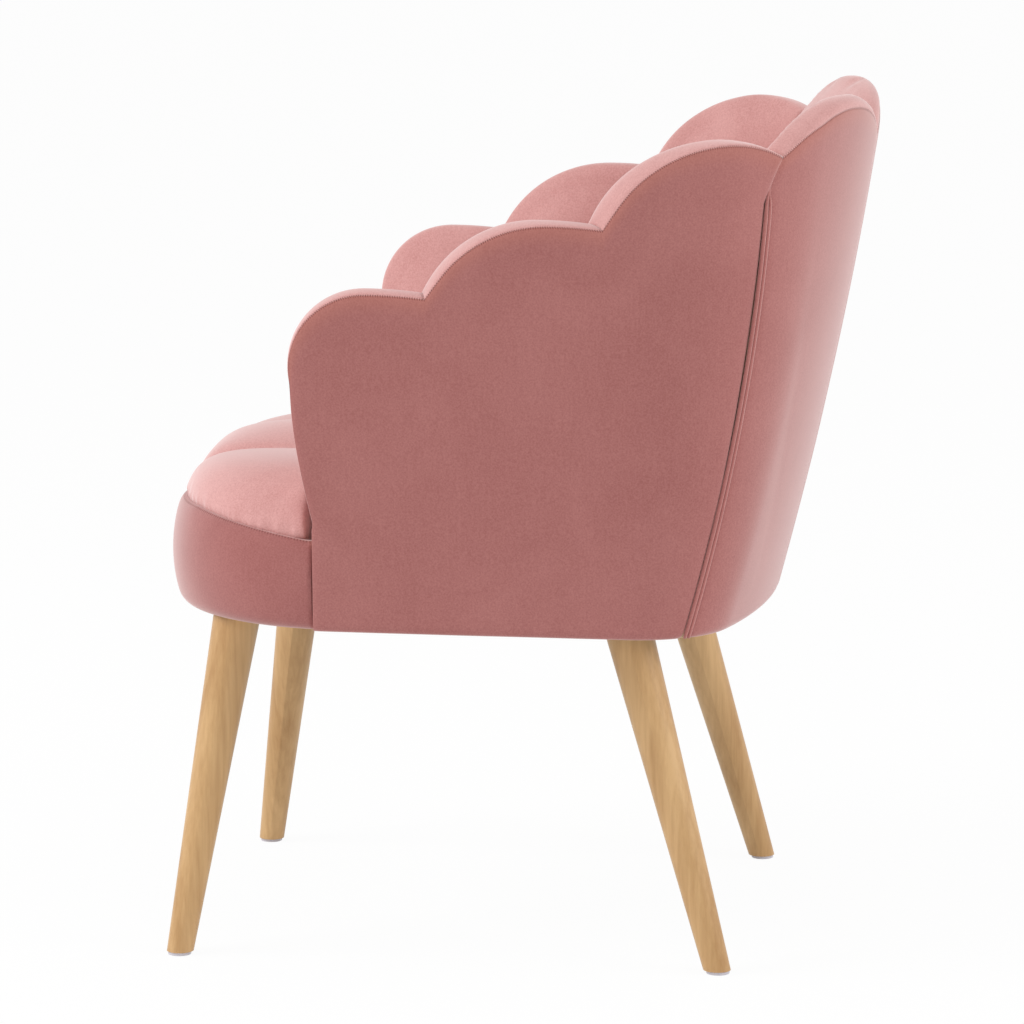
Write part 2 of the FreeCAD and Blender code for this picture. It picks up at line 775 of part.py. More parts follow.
def leg(position, side_name, side):
    """A tapered leg for one corner: a cone on the splayed axis, cut level, then bored."""
    name = position + "_" + side_name
    foot = Vector(side * size(position + "_foot_x"), size(position + "_foot_y"), 0)
    top = Vector(side * size(position + "_leg_x"), size(position + "_leg_y"), frame_low)
    axis = top - foot
    stretch = axis.Length + 2 * LEG_RUNOUT
    taper = (size("leg_top_radius") - size("leg_foot_radius")) / axis.Length
    axis.normalize()
    cone = doc.addObject("Part::Cone", "leg_taper_" + name)
    cone.Radius1 = size("leg_foot_radius") - taper * LEG_RUNOUT
    cone.Radius2 = size("leg_top_radius") + taper * LEG_RUNOUT
    cone.Height = stretch
    cone.Placement = Placement(foot - axis * LEG_RUNOUT, Rotation(UP, axis))
    level = doc.addObject("Part::Common", "leg_level_" + name)
    level.Base = cone
    level.Tool = slab
    bolt = doc.addObject("Part::Cylinder", "leg_bolt_bore_" + name)
    bolt.setExpression("Radius", "sizes.bolt_radius + sizes.hole_clearance")
    bolt.setExpression("Height", "sizes.bolt_in_leg + 10")
    bolt.setExpression("Placement.Base.x", "%d * sizes.%s_leg_x" % (side, position))
    bolt.setExpression("Placement.Base.y", "sizes.%s_leg_y" % position)
    bolt.setExpression("Placement.Base.z", "sizes.underside_height - sizes.bolt_in_leg - sizes.hole_clearance")
    nail = doc.addObject("Part::Cylinder", "leg_nail_bore_" + name)
    nail.setExpression("Radius", "sizes.nail_radius + sizes.hole_clearance")
    nail.setExpression("Height", "sizes.nail_length + sizes.hole_clearance")
    nail.setExpression("Placement.Base.x", "%d * sizes.%s_foot_x" % (side, position))
    nail.setExpression("Placement.Base.y", "sizes.%s_foot_y" % position)
    bores = doc.addObject("Part::Fuse", "leg_bores_" + name)
    bores.Base = bolt
    bores.Tool = nail
    bored = doc.addObject("Part::Cut", "leg_" + name)
    bored.Base = level
    bored.Tool = bores
    return keep(bored, "leg_" + name)


def glide(position, side_name, side):
    """A plastic disc under the foot, with a hole for its nail."""
    name = position + "_" + side_name
    disc = doc.addObject("Part::Cylinder", "glide_disc_" + name)
    disc.setExpression("Radius", "sizes.glide_radius")
    disc.setExpression("Height", "sizes.glide_thickness")
    hole = doc.addObject("Part::Cylinder", "glide_hole_" + name)
    hole.setExpression("Radius", "sizes.nail_radius + sizes.hole_clearance")
    hole.setExpression("Height", "sizes.glide_thickness")
    hole.setExpression("Placement.Base.z", "1")
    bored = doc.addObject("Part::Cut", "glide_" + name)
    bored.Base = disc
    bored.Tool = hole
    bored.setExpression("Placement.Base.x", "%d * sizes.%s_foot_x" % (side, position))
    bored.setExpression("Placement.Base.y", "sizes.%s_foot_y" % position)
    return keep(bored, "glide_" + name)


corners = [(position, name, side) for position in ("front", "rear") for name, side in (("left", 1), ("right", -1))]
bolts = []
nuts = []
nails = []
for position, side_name, side in corners:
    leg(position, side_name, side)
    glide(position, side_name, side)
    x = side * size(position + "_leg_x")
    y = size(position + "_leg_y")
    block_top = frame_low + size("block_height")
    bolts.append(Part.makeCylinder(
        size("bolt_radius"), size("bolt_in_leg") + size("block_height") + size("bolt_above_block"),
        Vector(x, y, frame_low - size("bolt_in_leg")),
    ))
    flange = Part.makeCylinder(size("nut_flange_radius"), size("nut_flange_thickness"), Vector(x, y, block_top))
    barrel = Part.makeCylinder(
        size("nut_barrel_radius"), size("nut_barrel_length"), Vector(x, y, block_top - size("nut_barrel_length")),
    )
    thread = Part.makeCylinder(clear_holes, RIGHT_THROUGH, Vector(x, y, frame_low))
    nuts.append(flange.fuse(barrel).cut(thread).removeSplitter())
    foot_x = side * size(position + "_foot_x")
    foot_y = size(position + "_foot_y")
    nails.append(Part.makeCylinder(size("nail_radius"), size("nail_length") - 1, Vector(foot_x, foot_y, 1)))
shaped("hanger_bolts", Part.makeCompound(bolts))
shaped("t_nuts", Part.makeCompound(nuts))
shaped("glide_nails", Part.makeCompound(nails))

# Check every object, then write one file for each piece

doc.recompute()
for item in doc.Objects:
    if "Invalid" in item.State or "Error" in item.State:
        raise RuntimeError("failed object: " + item.Label)
for piece in pieces:
    if piece.Shape.isNull() or not piece.Shape.isValid():
        raise RuntimeError("bad shape: " + piece.Label)
for piece in pieces:
    piece.Shape.exportStep(os.path.join("parts", piece.Label + ".step"))
box = Part.makeCompound([piece.Shape for piece in pieces]).BoundBox
print(len(pieces), "pieces", box)
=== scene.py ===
import math

import bmesh
import bpy
from mathutils import Matrix, Vector, noise


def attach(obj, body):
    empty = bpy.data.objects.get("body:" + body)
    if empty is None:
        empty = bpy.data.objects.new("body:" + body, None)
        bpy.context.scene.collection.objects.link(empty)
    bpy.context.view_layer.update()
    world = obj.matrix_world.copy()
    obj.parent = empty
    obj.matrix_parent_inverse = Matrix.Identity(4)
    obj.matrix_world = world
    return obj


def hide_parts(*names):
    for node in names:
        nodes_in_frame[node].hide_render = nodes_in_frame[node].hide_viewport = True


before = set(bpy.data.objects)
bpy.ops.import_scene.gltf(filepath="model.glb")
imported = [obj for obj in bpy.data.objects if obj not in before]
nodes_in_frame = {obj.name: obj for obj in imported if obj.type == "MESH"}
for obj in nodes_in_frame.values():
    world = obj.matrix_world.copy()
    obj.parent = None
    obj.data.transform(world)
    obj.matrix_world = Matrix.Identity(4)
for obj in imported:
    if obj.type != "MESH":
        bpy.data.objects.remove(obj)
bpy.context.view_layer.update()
bpy.ops.object.select_all(action="DESELECT")


# The place where the chair stands: a pale floor, soft light from all round with one
# broad lamp at the front and one behind, and the camera low at the chair's left side.

CAMERA_TURN = math.radians(8.1)
CAMERA_RISE = math.radians(9.8)
CAMERA_AWAY = 4.59
CAMERA_AIM = Vector((0.0, -0.0183, 0.3774))
CAMERA_LENS = 172.4
FLOOR_GLOW = 0.95
LAMP_AIM = Vector((0, 0, 0.45))

toward_camera = Vector((
    math.cos(CAMERA_TURN) * math.cos(CAMERA_RISE),
    math.sin(CAMERA_TURN) * math.cos(CAMERA_RISE),
    math.sin(CAMERA_RISE),
))
camera_right = Vector((-math.sin(CAMERA_TURN), math.cos(CAMERA_TURN), 0))
camera_up = toward_camera.cross(camera_right)
camera_data = bpy.data.cameras.new("photo_camera")
camera_data.lens = CAMERA_LENS
camera_data.sensor_width = 36
camera = bpy.data.objects.new("photo_camera", camera_data)
bpy.context.scene.collection.objects.link(camera)
turn = Matrix((camera_right, camera_up, toward_camera)).transposed().to_4x4()
camera.matrix_world = Matrix.Translation(CAMERA_AIM + toward_camera * CAMERA_AWAY) @ turn
bpy.context.scene.camera = camera


def new_material(name):
    """An empty node material with its shader and output, ready for a finish."""
    material = bpy.data.materials.new(name)
    material.use_nodes = True
    tree = material.node_tree
    shader = next(node for node in tree.nodes if node.type == "BSDF_PRINCIPLED")
    return material, tree, shader


def feed(tree, node, values):
    """Set a node's inputs by name or number, each to a value or to another's output."""
    for socket, value in dict(values).items():
        if isinstance(value, bpy.types.NodeSocket):
            tree.links.new(value, node.inputs[socket])
        else:
            node.inputs[socket].default_value = value


def put(tree, kind, values=(), **settings):
    """Add a node with its settings and its inputs."""
    node = tree.nodes.new(kind)
    for name, value in settings.items():
        setattr(node, name, value)
    feed(tree, node, values)
    return node


def calc(tree, operation, *terms):
    """The result of one step of arithmetic on sockets and plain numbers."""
    return put(tree, "ShaderNodeMath", dict(enumerate(terms)), operation=operation).outputs[0]


def seen_white(tree):
    """One where a ray comes from the camera, a mirror or glass, and zero elsewhere."""
    path = put(tree, "ShaderNodeLightPath").outputs
    first = calc(tree, "MAXIMUM", path["Is Camera Ray"], path["Is Glossy Ray"])
    return calc(tree, "MAXIMUM", first, path["Is Transmission Ray"])


world = bpy.data.worlds.new("studio")
bpy.context.scene.world = world
world.use_nodes = True
tree = world.node_tree
tree.nodes.clear()
room = put(tree, "ShaderNodeBackground", {"Color": (1, 0.99, 0.985, 1), "Strength": 0.62})
paper = put(tree, "ShaderNodeBackground", {"Color": (1, 1, 1, 1), "Strength": 1.0})
either = put(tree, "ShaderNodeMixShader", {0: seen_white(tree), 1: room.outputs[0], 2: paper.outputs[0]})
put(tree, "ShaderNodeOutputWorld", {0: either.outputs[0]})

bpy.ops.mesh.primitive_plane_add(size=30, location=(0, 0, 0))
floor = bpy.context.object
floor.name = "floor"
bpy.ops.object.transform_apply(location=True)
material, tree, shader = new_material("floor_paper")
feed(tree, shader, {"Base Color": (0.93, 0.93, 0.93, 1), "Roughness": 0.9, "Specular IOR Level": 0.1})
glow = put(tree, "ShaderNodeEmission", {"Color": (1, 1, 1, 1), "Strength": 1.0})
lit = calc(tree, "MULTIPLY", seen_white(tree), FLOOR_GLOW)
either = put(tree, "ShaderNodeMixShader", {0: lit, 1: shader.outputs[0], 2: glow.outputs[0]})
output = next(node for node in tree.nodes if node.type == "OUTPUT_MATERIAL")
feed(tree, output, {0: either.outputs[0]})
floor.data.materials.append(material)
floor.select_set(False)


def add_lamp(name, place, width, power):
    """A square soft lamp that looks at the middle of the chair."""
    lamp_data = bpy.data.lights.new(name, "AREA")
    lamp_data.size = width
    lamp_data.energy = power
    lamp = bpy.data.objects.new(name, lamp_data)
    bpy.context.scene.collection.objects.link(lamp)
    lamp.location = place
    lamp.rotation_euler = (LAMP_AIM - Vector(place)).to_track_quat("-Z", "Y").to_euler()


add_lamp("front_lamp", (1.0, -2.6, 2.3), 1.6, 60)
add_lamp("back_lamp", (0.6, 2.8, 1.8), 1.6, 34)
bpy.context.scene.view_settings.view_transform = "Standard"


# Seat frame: four planed softwood rails with a glued block in each corner. It is
# screwed together and hidden by the covers, so its finish is plain pine.

def new_group(name, inputs, outputs):
    """A node group with its sockets by name and kind, what it is given, and its end."""
    group = bpy.data.node_groups.new(name, "ShaderNodeTree")
    for way, sockets in (("INPUT", inputs), ("OUTPUT", outputs)):
        for socket, kind in sockets.items():
            group.interface.new_socket(socket, in_out=way, socket_type="NodeSocket" + kind)
    return group, put(group, "NodeGroupInput").outputs, put(group, "NodeGroupOutput")


def blend(tree, share, low, high):
    """The colour at a share of the way between two, each a socket or a plain colour."""
    ends = [end if isinstance(end, bpy.types.NodeSocket) else (*end, 1) for end in (low, high)]
    mixer = put(tree, "ShaderNodeMix", {"Factor": share, "A": ends[0], "B": ends[1]}, data_type="RGBA")
    return mixer.outputs["Result"]


def spread(tree, value, low, high, to_low=0.0, to_high=1.0, **settings):
    """A value's place between low and high, moved to between two others."""
    values = {0: value, "From Min": low, "From Max": high, "To Min": to_low, "To Max": to_high}
    return put(tree, "ShaderNodeMapRange", values, **settings).outputs[0]


def raised(tree, height, strength, distance, over=()):
    """A normal raised by a height, over another normal where one is given."""
    values = {"Height": height, "Strength": strength, "Distance": distance}
    return put(tree, "ShaderNodeBump", {**values, **dict(over)}).outputs[0]


def grain_group():
    """Long pale and dark fibres with a few broad rings, running up the piece."""
    group, given, end = new_group(
        "wood_fibres",
        {"Vector": "Vector", "Fibres": "Float", "Dark": "Color", "Pale": "Color"},
        {"Color": "Color", "Height": "Float"},
    )
    stretch = put(group, "ShaderNodeMapping", {"Vector": given["Vector"], "Scale": (1, 1, 0.05)})
    fine = put(group, "ShaderNodeTexNoise", {
        "Vector": stretch.outputs[0], "Scale": given["Fibres"], "Detail": 5.0, "Roughness": 0.62,
    }).outputs[0]
    slow = put(group, "ShaderNodeMapping", {"Vector": given["Vector"], "Scale": (1, 1, 0.12)})
    broad = put(group, "ShaderNodeTexNoise", {
        "Vector": slow.outputs[0], "Scale": 28.0, "Detail": 3.0, "Distortion": 0.5,
    }).outputs[0]
    share = spread(group, calc(group, "MULTIPLY_ADD", fine, 0.5, broad), 0.52, 0.92)
    feed(group, end, {"Color": blend(group, share, given["Dark"], given["Pale"]), "Height": fine})
    return group


wood_fibres = grain_group()


def wood(name, dark, pale, fibres, gloss, turned=(0, 0, 0)):
    """A sanded timber: its fibres follow the piece's length once turned upright."""
    material, tree, shader = new_material(name)
    place = put(tree, "ShaderNodeTexCoord").outputs["Object"]
    lay = put(tree, "ShaderNodeMapping", {"Vector": place, "Rotation": turned})
    fibre = put(tree, "ShaderNodeGroup", {
        "Vector": lay.outputs[0], "Fibres": fibres, "Dark": (*dark, 1), "Pale": (*pale, 1),
    }, node_tree=wood_fibres)
    feed(tree, shader, {
        "Base Color": fibre.outputs["Color"],
        "Normal": raised(tree, fibre.outputs["Height"], 0.12, 0.0004),
        "Roughness": gloss,
    })
    return material


def finish_nodes(names, material):
    """Give modelled hard parts their finish, their meshes left as they are."""
    for name in names:
        for place in nodes_in_frame[name].material_slots:
            place.material = material


SIDEWAYS = (0, math.pi / 2, 0)
LENGTHWAYS = (math.pi / 2, 0, 0)
pine = ((0.44, 0.27, 0.13), (0.70, 0.50, 0.29))
end_rails = ["seat_front_rail", "seat_back_rail"]
side_rails = ["seat_side_rail_left", "seat_side_rail_right"]
corners = [end + "_" + side for end in ("front", "rear") for side in ("left", "right")]
finish_nodes(end_rails, wood("rail_pine_across", *pine, 190.0, 0.62, SIDEWAYS))
finish_nodes(side_rails, wood("rail_pine_along", *pine, 190.0, 0.62, LENGTHWAYS))
finish_nodes(["corner_block_" + corner for corner in corners], wood("block_pine", *pine, 160.0, 0.66))


# Fixings: zinc plated hanger bolts, tee nuts and screws, with a cold grey plate
# that is a little cloudy, and the plain nails that hold the glides.

def piece_noise(tree, values):
    """Noise that keeps its place on the piece."""
    place = put(tree, "ShaderNodeTexCoord").outputs["Object"]
    return put(tree, "ShaderNodeTexNoise", {"Vector": place, **values}).outputs[0]


def zinc(name, tone):
    """A plated metal of one tone, a little cloudy in its colour and its gloss."""
    material, tree, shader = new_material(name)
    cloud = piece_noise(tree, {"Scale": 260.0, "Detail": 3.0})
    dull = (tone * 0.8, tone * 0.82, tone * 0.86)
    feed(tree, shader, {
        "Base Color": blend(tree, cloud, dull, (tone, tone, tone * 1.02)),
        "Roughness": spread(tree, cloud, 0.0, 1.0, 0.24, 0.46),
        "Metallic": 1.0,
    })
    return material


finish_nodes(["frame_screws", "hanger_bolts", "t_nuts"], zinc("zinc_plate", 0.72))
finish_nodes(["glide_nails"], zinc("nail_steel", 0.6))


# Webbing: flat elastic straps in a dark ribbed weave, tacked to the rails. Three run
# from front to back, and four lie across on top of them.

def copy_of(node, name):
    """A new piece that starts as a copy of a modelled one's mesh, with its points merged."""
    mesh = nodes_in_frame[node].data.copy()
    piece = bpy.data.objects.new(name, mesh)
    bpy.context.scene.collection.objects.link(piece)
    solid = bmesh.new()
    solid.from_mesh(mesh)
    bmesh.ops.remove_doubles(solid, verts=solid.verts, dist=1e-6)
    solid.to_mesh(mesh)
    solid.free()
    mesh.materials.clear()
    return piece


def webbing_finish(name, across, along):
    """Dark elastic webbing, ribbed one way and threaded the other."""
    material, tree, shader = new_material(name)
    place = put(tree, "ShaderNodeTexCoord").outputs["Object"]
    ribs = put(
        tree, "ShaderNodeTexWave", {"Vector": place, "Scale": 160.0, "Distortion": 0.4}, bands_direction=along
    )
    threads = put(tree, "ShaderNodeTexWave", {"Vector": place, "Scale": 420.0}, bands_direction=across)
    weave = calc(tree, "MULTIPLY", ribs.outputs["Fac"], threads.outputs["Fac"])
    feed(tree, shader, {
        "Base Color": blend(tree, weave, (0.05, 0.045, 0.04), (0.22, 0.20, 0.18)),
        "Normal": raised(tree, weave, 0.4, 0.0004),
        "Roughness": 0.8,
    })
    return material


WEBBING_RESTS = end_rails + side_rails

for node, across, along, flat, area, under in (
    ("webbing_lengthwise", "X", "Y", (0.150, 0.5073), 0.0747, WEBBING_RESTS),
    ("webbing_crosswise", "Y", "X", (0.200, 0.4614), 0.0906, WEBBING_RESTS + ["seat_straps_lengthwise"]),
):
    straps = copy_of(node, node.replace("webbing", "seat_straps"))
    straps.data.materials.append(webbing_finish(straps.name + "_weave", across, along))
    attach(straps, "root")
    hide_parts(node)


# Legs: four turned and tapered beech legs, oiled and not stained, splayed at the
# corners, each with a nailed nylon glide under its foot.

oiled_beech = wood("oiled_beech", (0.47, 0.26, 0.10), (0.68, 0.43, 0.20), 260.0, 0.42)
finish_nodes(["leg_" + corner for corner in corners], oiled_beech)


def nylon_finish():
    """Pale grey nylon, a little scuffed."""
    material, tree, shader = new_material("glide_nylon")
    scuff = piece_noise(tree, {"Scale": 420.0, "Detail": 4.0})
    feed(tree, shader, {
        "Base Color": blend(tree, scuff, (0.56, 0.54, 0.60), (0.72, 0.70, 0.76)),
        "Roughness": 0.45,
    })
    return material


finish_nodes(["glide_" + corner for corner in corners], nylon_finish())


# Shell board: thin plywood bent round the seat, with its top edge cut in eight
# scallops. The petals and the outer covers are stapled to its two faces.

plywood = wood("shell_plywood", (0.50, 0.34, 0.18), (0.74, 0.56, 0.34), 90.0, 0.6)
finish_nodes(["shell_board"], plywood)


# Petals: eight foam channels under cotton velvet round the inside of the tub. Each
# is full in the middle, drawn in at its two seams, and rolls over the board's edge.

UNDERSIDE = 0.308
PLAN_TOP = 0.790
SEAT_SEAM = 0.405
SHOULDER = 0.532
TUB_HALF = (0.252, 0.277)
TUB_BACK = (0.230, 0.325)
TUB_CORNER = (0.085, 0.222)
TUB_WIDE = (0.700, 0.322)
BACK_BOW = 0.058
ARM_FRONT = 0.162
ARM_LEAN = 0.019
PETAL_FOOT = 0.392
VALLEY_SHARES = (0.0, 0.186, 0.42, 0.672, 1.0)
VALLEY_HEIGHTS = (0.532, 0.615, 0.678, 0.738, 0.749)
PEAK_HEIGHTS = (0.618, 0.681, 0.751, 0.781)
PEAK_SHARES = (0.57, 0.69, 0.67, 0.50)
RIDGE_DEPTH = 0.022
BOARD_FACE = 0.0173
PETAL_VALLEY = 0.020
PETAL_CROWN = 0.047
PETAL_RIM = 0.015
RIM_CLOSING = 0.115
INNER_ROLL = 0.017
OUTER_ROLL = 0.0048
FRONT_ROLL = 0.0020
BACK_ROLL = 0.0125
SEAM_SUNK = 0.0014
FRONT_ROLL_SHARE = 0.4
BACK_ROLL_SHARE = 0.25
VALLEY_TURN = 0.16
ARM_TOP_SHARE = 0.2
SWELL_STEEP = 2.3
SWELL_ROUND = 0.72
ARM_SWELL = 0.05
SEAM_AT_RIM = 0.012
FOOT_TUCK = 0.88


def mix(low, high, share):
    return low + (high - low) * share


def clamp(value):
    return max(0.0, min(1.0, value))


class Tub:
    """The tub's plan at a height, moved inwards by an inset: straight sides, two
    corner arcs and one wide arc across the back."""

    def __init__(self, height, inset=0.0):
        share = (height - UNDERSIDE) / (PLAN_TOP - UNDERSIDE)
        self.height = height
        self.half = mix(*TUB_HALF, share) - inset
        self.back = mix(*TUB_BACK, share) + BACK_BOW * share * (1 - share) - inset
        self.corner = mix(*TUB_CORNER, share) - inset
        self.wide = mix(*TUB_WIDE, share) - inset
        self.centre_y = self.back - self.wide
        self.corner_x = self.half - self.corner
        rise = math.sqrt((self.wide - self.corner) ** 2 - self.corner_x ** 2)
        self.corner_y = self.centre_y + rise
        self.turn = math.atan2(rise, self.corner_x)
        lean = clamp((height - SEAT_SEAM) / (SHOULDER - SEAT_SEAM))
        self.front = -(ARM_FRONT + ARM_LEAN * math.sin(math.pi / 2 * lean))
        self.side = self.corner_y - self.front
        self.length = self.side + self.corner * self.turn + self.wide * (math.pi / 2 - self.turn)

    def at(self, share):
        """The point at a share of the way from the arm's front to the middle of the back."""
        run = share * self.length
        if run <= self.side:
            return Vector((self.half, self.front + run, self.height))
        run -= self.side
        if run <= self.corner * self.turn:
            angle = run / self.corner
            centre = (self.corner_x, self.corner_y)
            radius = self.corner
        else:
            angle = self.turn + (run - self.corner * self.turn) / self.wide
            centre = (0.0, self.centre_y)
            radius = self.wide
        across, along = radius * math.cos(angle), radius * math.sin(angle)
        return Vector((centre[0] + across, centre[1] + along, self.height))


def chord(index):
    """How long a petal is between its two valleys."""
    first = Tub(VALLEY_HEIGHTS[index], RIDGE_DEPTH).at(VALLEY_SHARES[index])
    second = Tub(VALLEY_HEIGHTS[index + 1], RIDGE_DEPTH).at(VALLEY_SHARES[index + 1])
    return math.hypot(second.x - first.x, second.y - first.y)


def scallop(index, shares):
    """Points along a petal's top as (run, height) with the way out of it, a steep arc
    up to the peak and a flatter one down. At a valley the way out is straight up."""
    width = chord(index)
    peak = PEAK_HEIGHTS[index]
    top = width * PEAK_SHARES[index]
    rises = (peak - VALLEY_HEIGHTS[index], peak - VALLEY_HEIGHTS[index + 1])
    runs = (top, width - top)
    radii = [(run ** 2 + rise ** 2) / (2 * rise) for run, rise in zip(runs, rises)]
    sweeps = [math.acos(1 - rise / radius) for rise, radius in zip(rises, radii)]
    lengths = [radius * sweep for radius, sweep in zip(radii, sweeps)]
    points = []
    for share in shares:
        along = share * sum(lengths)
        if along < lengths[0]:
            side, sign = 0, -1
            angle = (lengths[0] - along) / radii[0]
        else:
            side, sign = 1, 1
            angle = (along - lengths[0]) / radii[1]
        run = top + sign * radii[side] * math.sin(angle)
        height = peak - radii[side] * (1 - math.cos(angle))
        lean = sign * math.sin(angle)
        reach = min(1.0, (1 - share) / VALLEY_TURN)
        if index:
            reach = min(reach, share / VALLEY_TURN)
        lean *= math.sin(reach * math.pi / 2)
        rise = math.cos(angle) if index == 0 and share < ARM_TOP_SHARE else math.sqrt(1 - lean ** 2)
        points.append((run, height, lean, rise))
    return points


def outer_roll(index, share):
    """How far below the rim a petal is sewn to the outer cover: nearly at the edge down
    the arm's front, and well down the outside on the back petal."""
    if index == 0:
        return mix(FRONT_ROLL, OUTER_ROLL, min(1.0, share / FRONT_ROLL_SHARE))
    if index == 3:
        return mix(OUTER_ROLL, BACK_ROLL, min(1.0, share / BACK_ROLL_SHARE))
    return OUTER_ROLL


def share_of(index, run):
    """The tub's share at a run along a petal's chord."""
    return VALLEY_SHARES[index] + (VALLEY_SHARES[index + 1] - VALLEY_SHARES[index]) * run / chord(index)


def swell(reach):
    """A round cushion profile, from nothing at a seam to full away from it."""
    reach = clamp(reach)
    return (1 - (1 - reach) ** SWELL_STEEP) ** SWELL_ROUND


def petal_depth(index, share, below_rim, run, height):
    """How far a petal stands in from the board's inner face."""
    closing = math.sin(math.pi / 2 * clamp(below_rim / RIM_CLOSING))
    left = swell(2 * share) if index else swell(run / ARM_SWELL)
    across = left * swell(2 * (1 - share))
    seam = mix(SEAM_AT_RIM, PETAL_VALLEY, closing)
    crown = mix(PETAL_RIM, PETAL_CROWN, closing)
    tuck = mix(FOOT_TUCK, 1.0, min(1.0, (height - PETAL_FOOT) / RIM_CLOSING))
    return mix(seam, crown, across) * tuck


def make_piece(name, points, faces, seam_map):
    """A closed mesh from points and faces, with a map of how far along a seam and how
    far from it each point lies."""
    mesh = bpy.data.meshes.new(name)
    mesh.from_pydata([tuple(point) for point in points], [], faces)
    layer = mesh.uv_layers.new(name="seam")
    for loop in mesh.loops:
        layer.data[loop.index].uv = seam_map[loop.vertex_index]
    solid = bmesh.new()
    solid.from_mesh(mesh)
    bmesh.ops.recalc_face_normals(solid, faces=solid.faces)
    solid.to_mesh(mesh)
    solid.free()
    piece = bpy.data.objects.new(name, mesh)
    bpy.context.scene.collection.objects.link(piece)
    mesh.shade_smooth()
    return piece


def mirror_of(piece, name):
    """The same piece for the other side, with a mesh of its own."""
    mesh = piece.data.copy()
    mesh.transform(Matrix.Scale(-1, 4, (1, 0, 0)))
    mesh.flip_normals()
    other = bpy.data.objects.new(name, mesh)
    bpy.context.scene.collection.objects.link(other)
    return other


def inflate(piece, held, pressure, cap):
    """Blow a padded piece up from inside with its seams held, and keep what its cloth
    does up to a largest movement."""
    group = piece.vertex_groups.new(name="held")
    group.add(held, 1.0, "REPLACE")
    cloth = piece.modifiers.new("cloth", "CLOTH")
    settings = cloth.settings
    settings.quality = 4
    settings.mass = 0.3
    settings.tension_stiffness = 12
    settings.compression_stiffness = 12
    settings.shear_stiffness = 4
    settings.bending_stiffness = 0.4
    settings.use_pressure = True
    settings.uniform_pressure_force = pressure
    settings.vertex_group_mass = "held"
    settings.effector_weights.gravity = 0
    cloth.point_cache.frame_start = 1
    cloth.point_cache.frame_end = SIM_FRAMES
    scene = bpy.context.scene
    for frame_number in range(1, SIM_FRAMES + 1):
        scene.frame_set(frame_number)
    swollen = piece.evaluated_get(bpy.context.evaluated_depsgraph_get()).data
    moves = [after.co - before.co for after, before in zip(swollen.vertices, piece.data.vertices)]
    piece.modifiers.remove(cloth)
    piece.vertex_groups.clear()
    for vertex, move in zip(piece.data.vertices, moves):
        if move.length > cap:
            move *= cap / move.length
        vertex.co += move
    scene.frame_set(1)


def calm(piece, fixed, times):
    """Draw the wrinkles out of a pad's cloth everywhere but at the fixed points."""
    shape = bmesh.new()
    shape.from_mesh(piece.data)
    shape.verts.ensure_lookup_table()
    fixed = set(fixed)
    loose = [vertex for vertex in shape.verts if vertex.index not in fixed]
    for _ in range(times):
        bmesh.ops.smooth_vert(
            shape, verts=loose, factor=0.5, use_axis_x=True, use_axis_y=True, use_axis_z=True
        )
    shape.to_mesh(piece.data)
    shape.free()


SIM_FRAMES = 20
COLUMNS = 44
ROWS = 56
ROLL_STEPS = 12
PAD_PRESSURE = 4.0
PETAL_CAP = 0.005
ROW_EASE = 1.25
ARM_TURN = 3
ROLL_EARLY = 0.8
ROLL_ROUND = 0.85
PLAIN_SEAM = 0.004
TUCK = 0.006
CALM_FROM = 4
CALM_TIMES = 14
NO_SEAM = (0.0, 0.2)


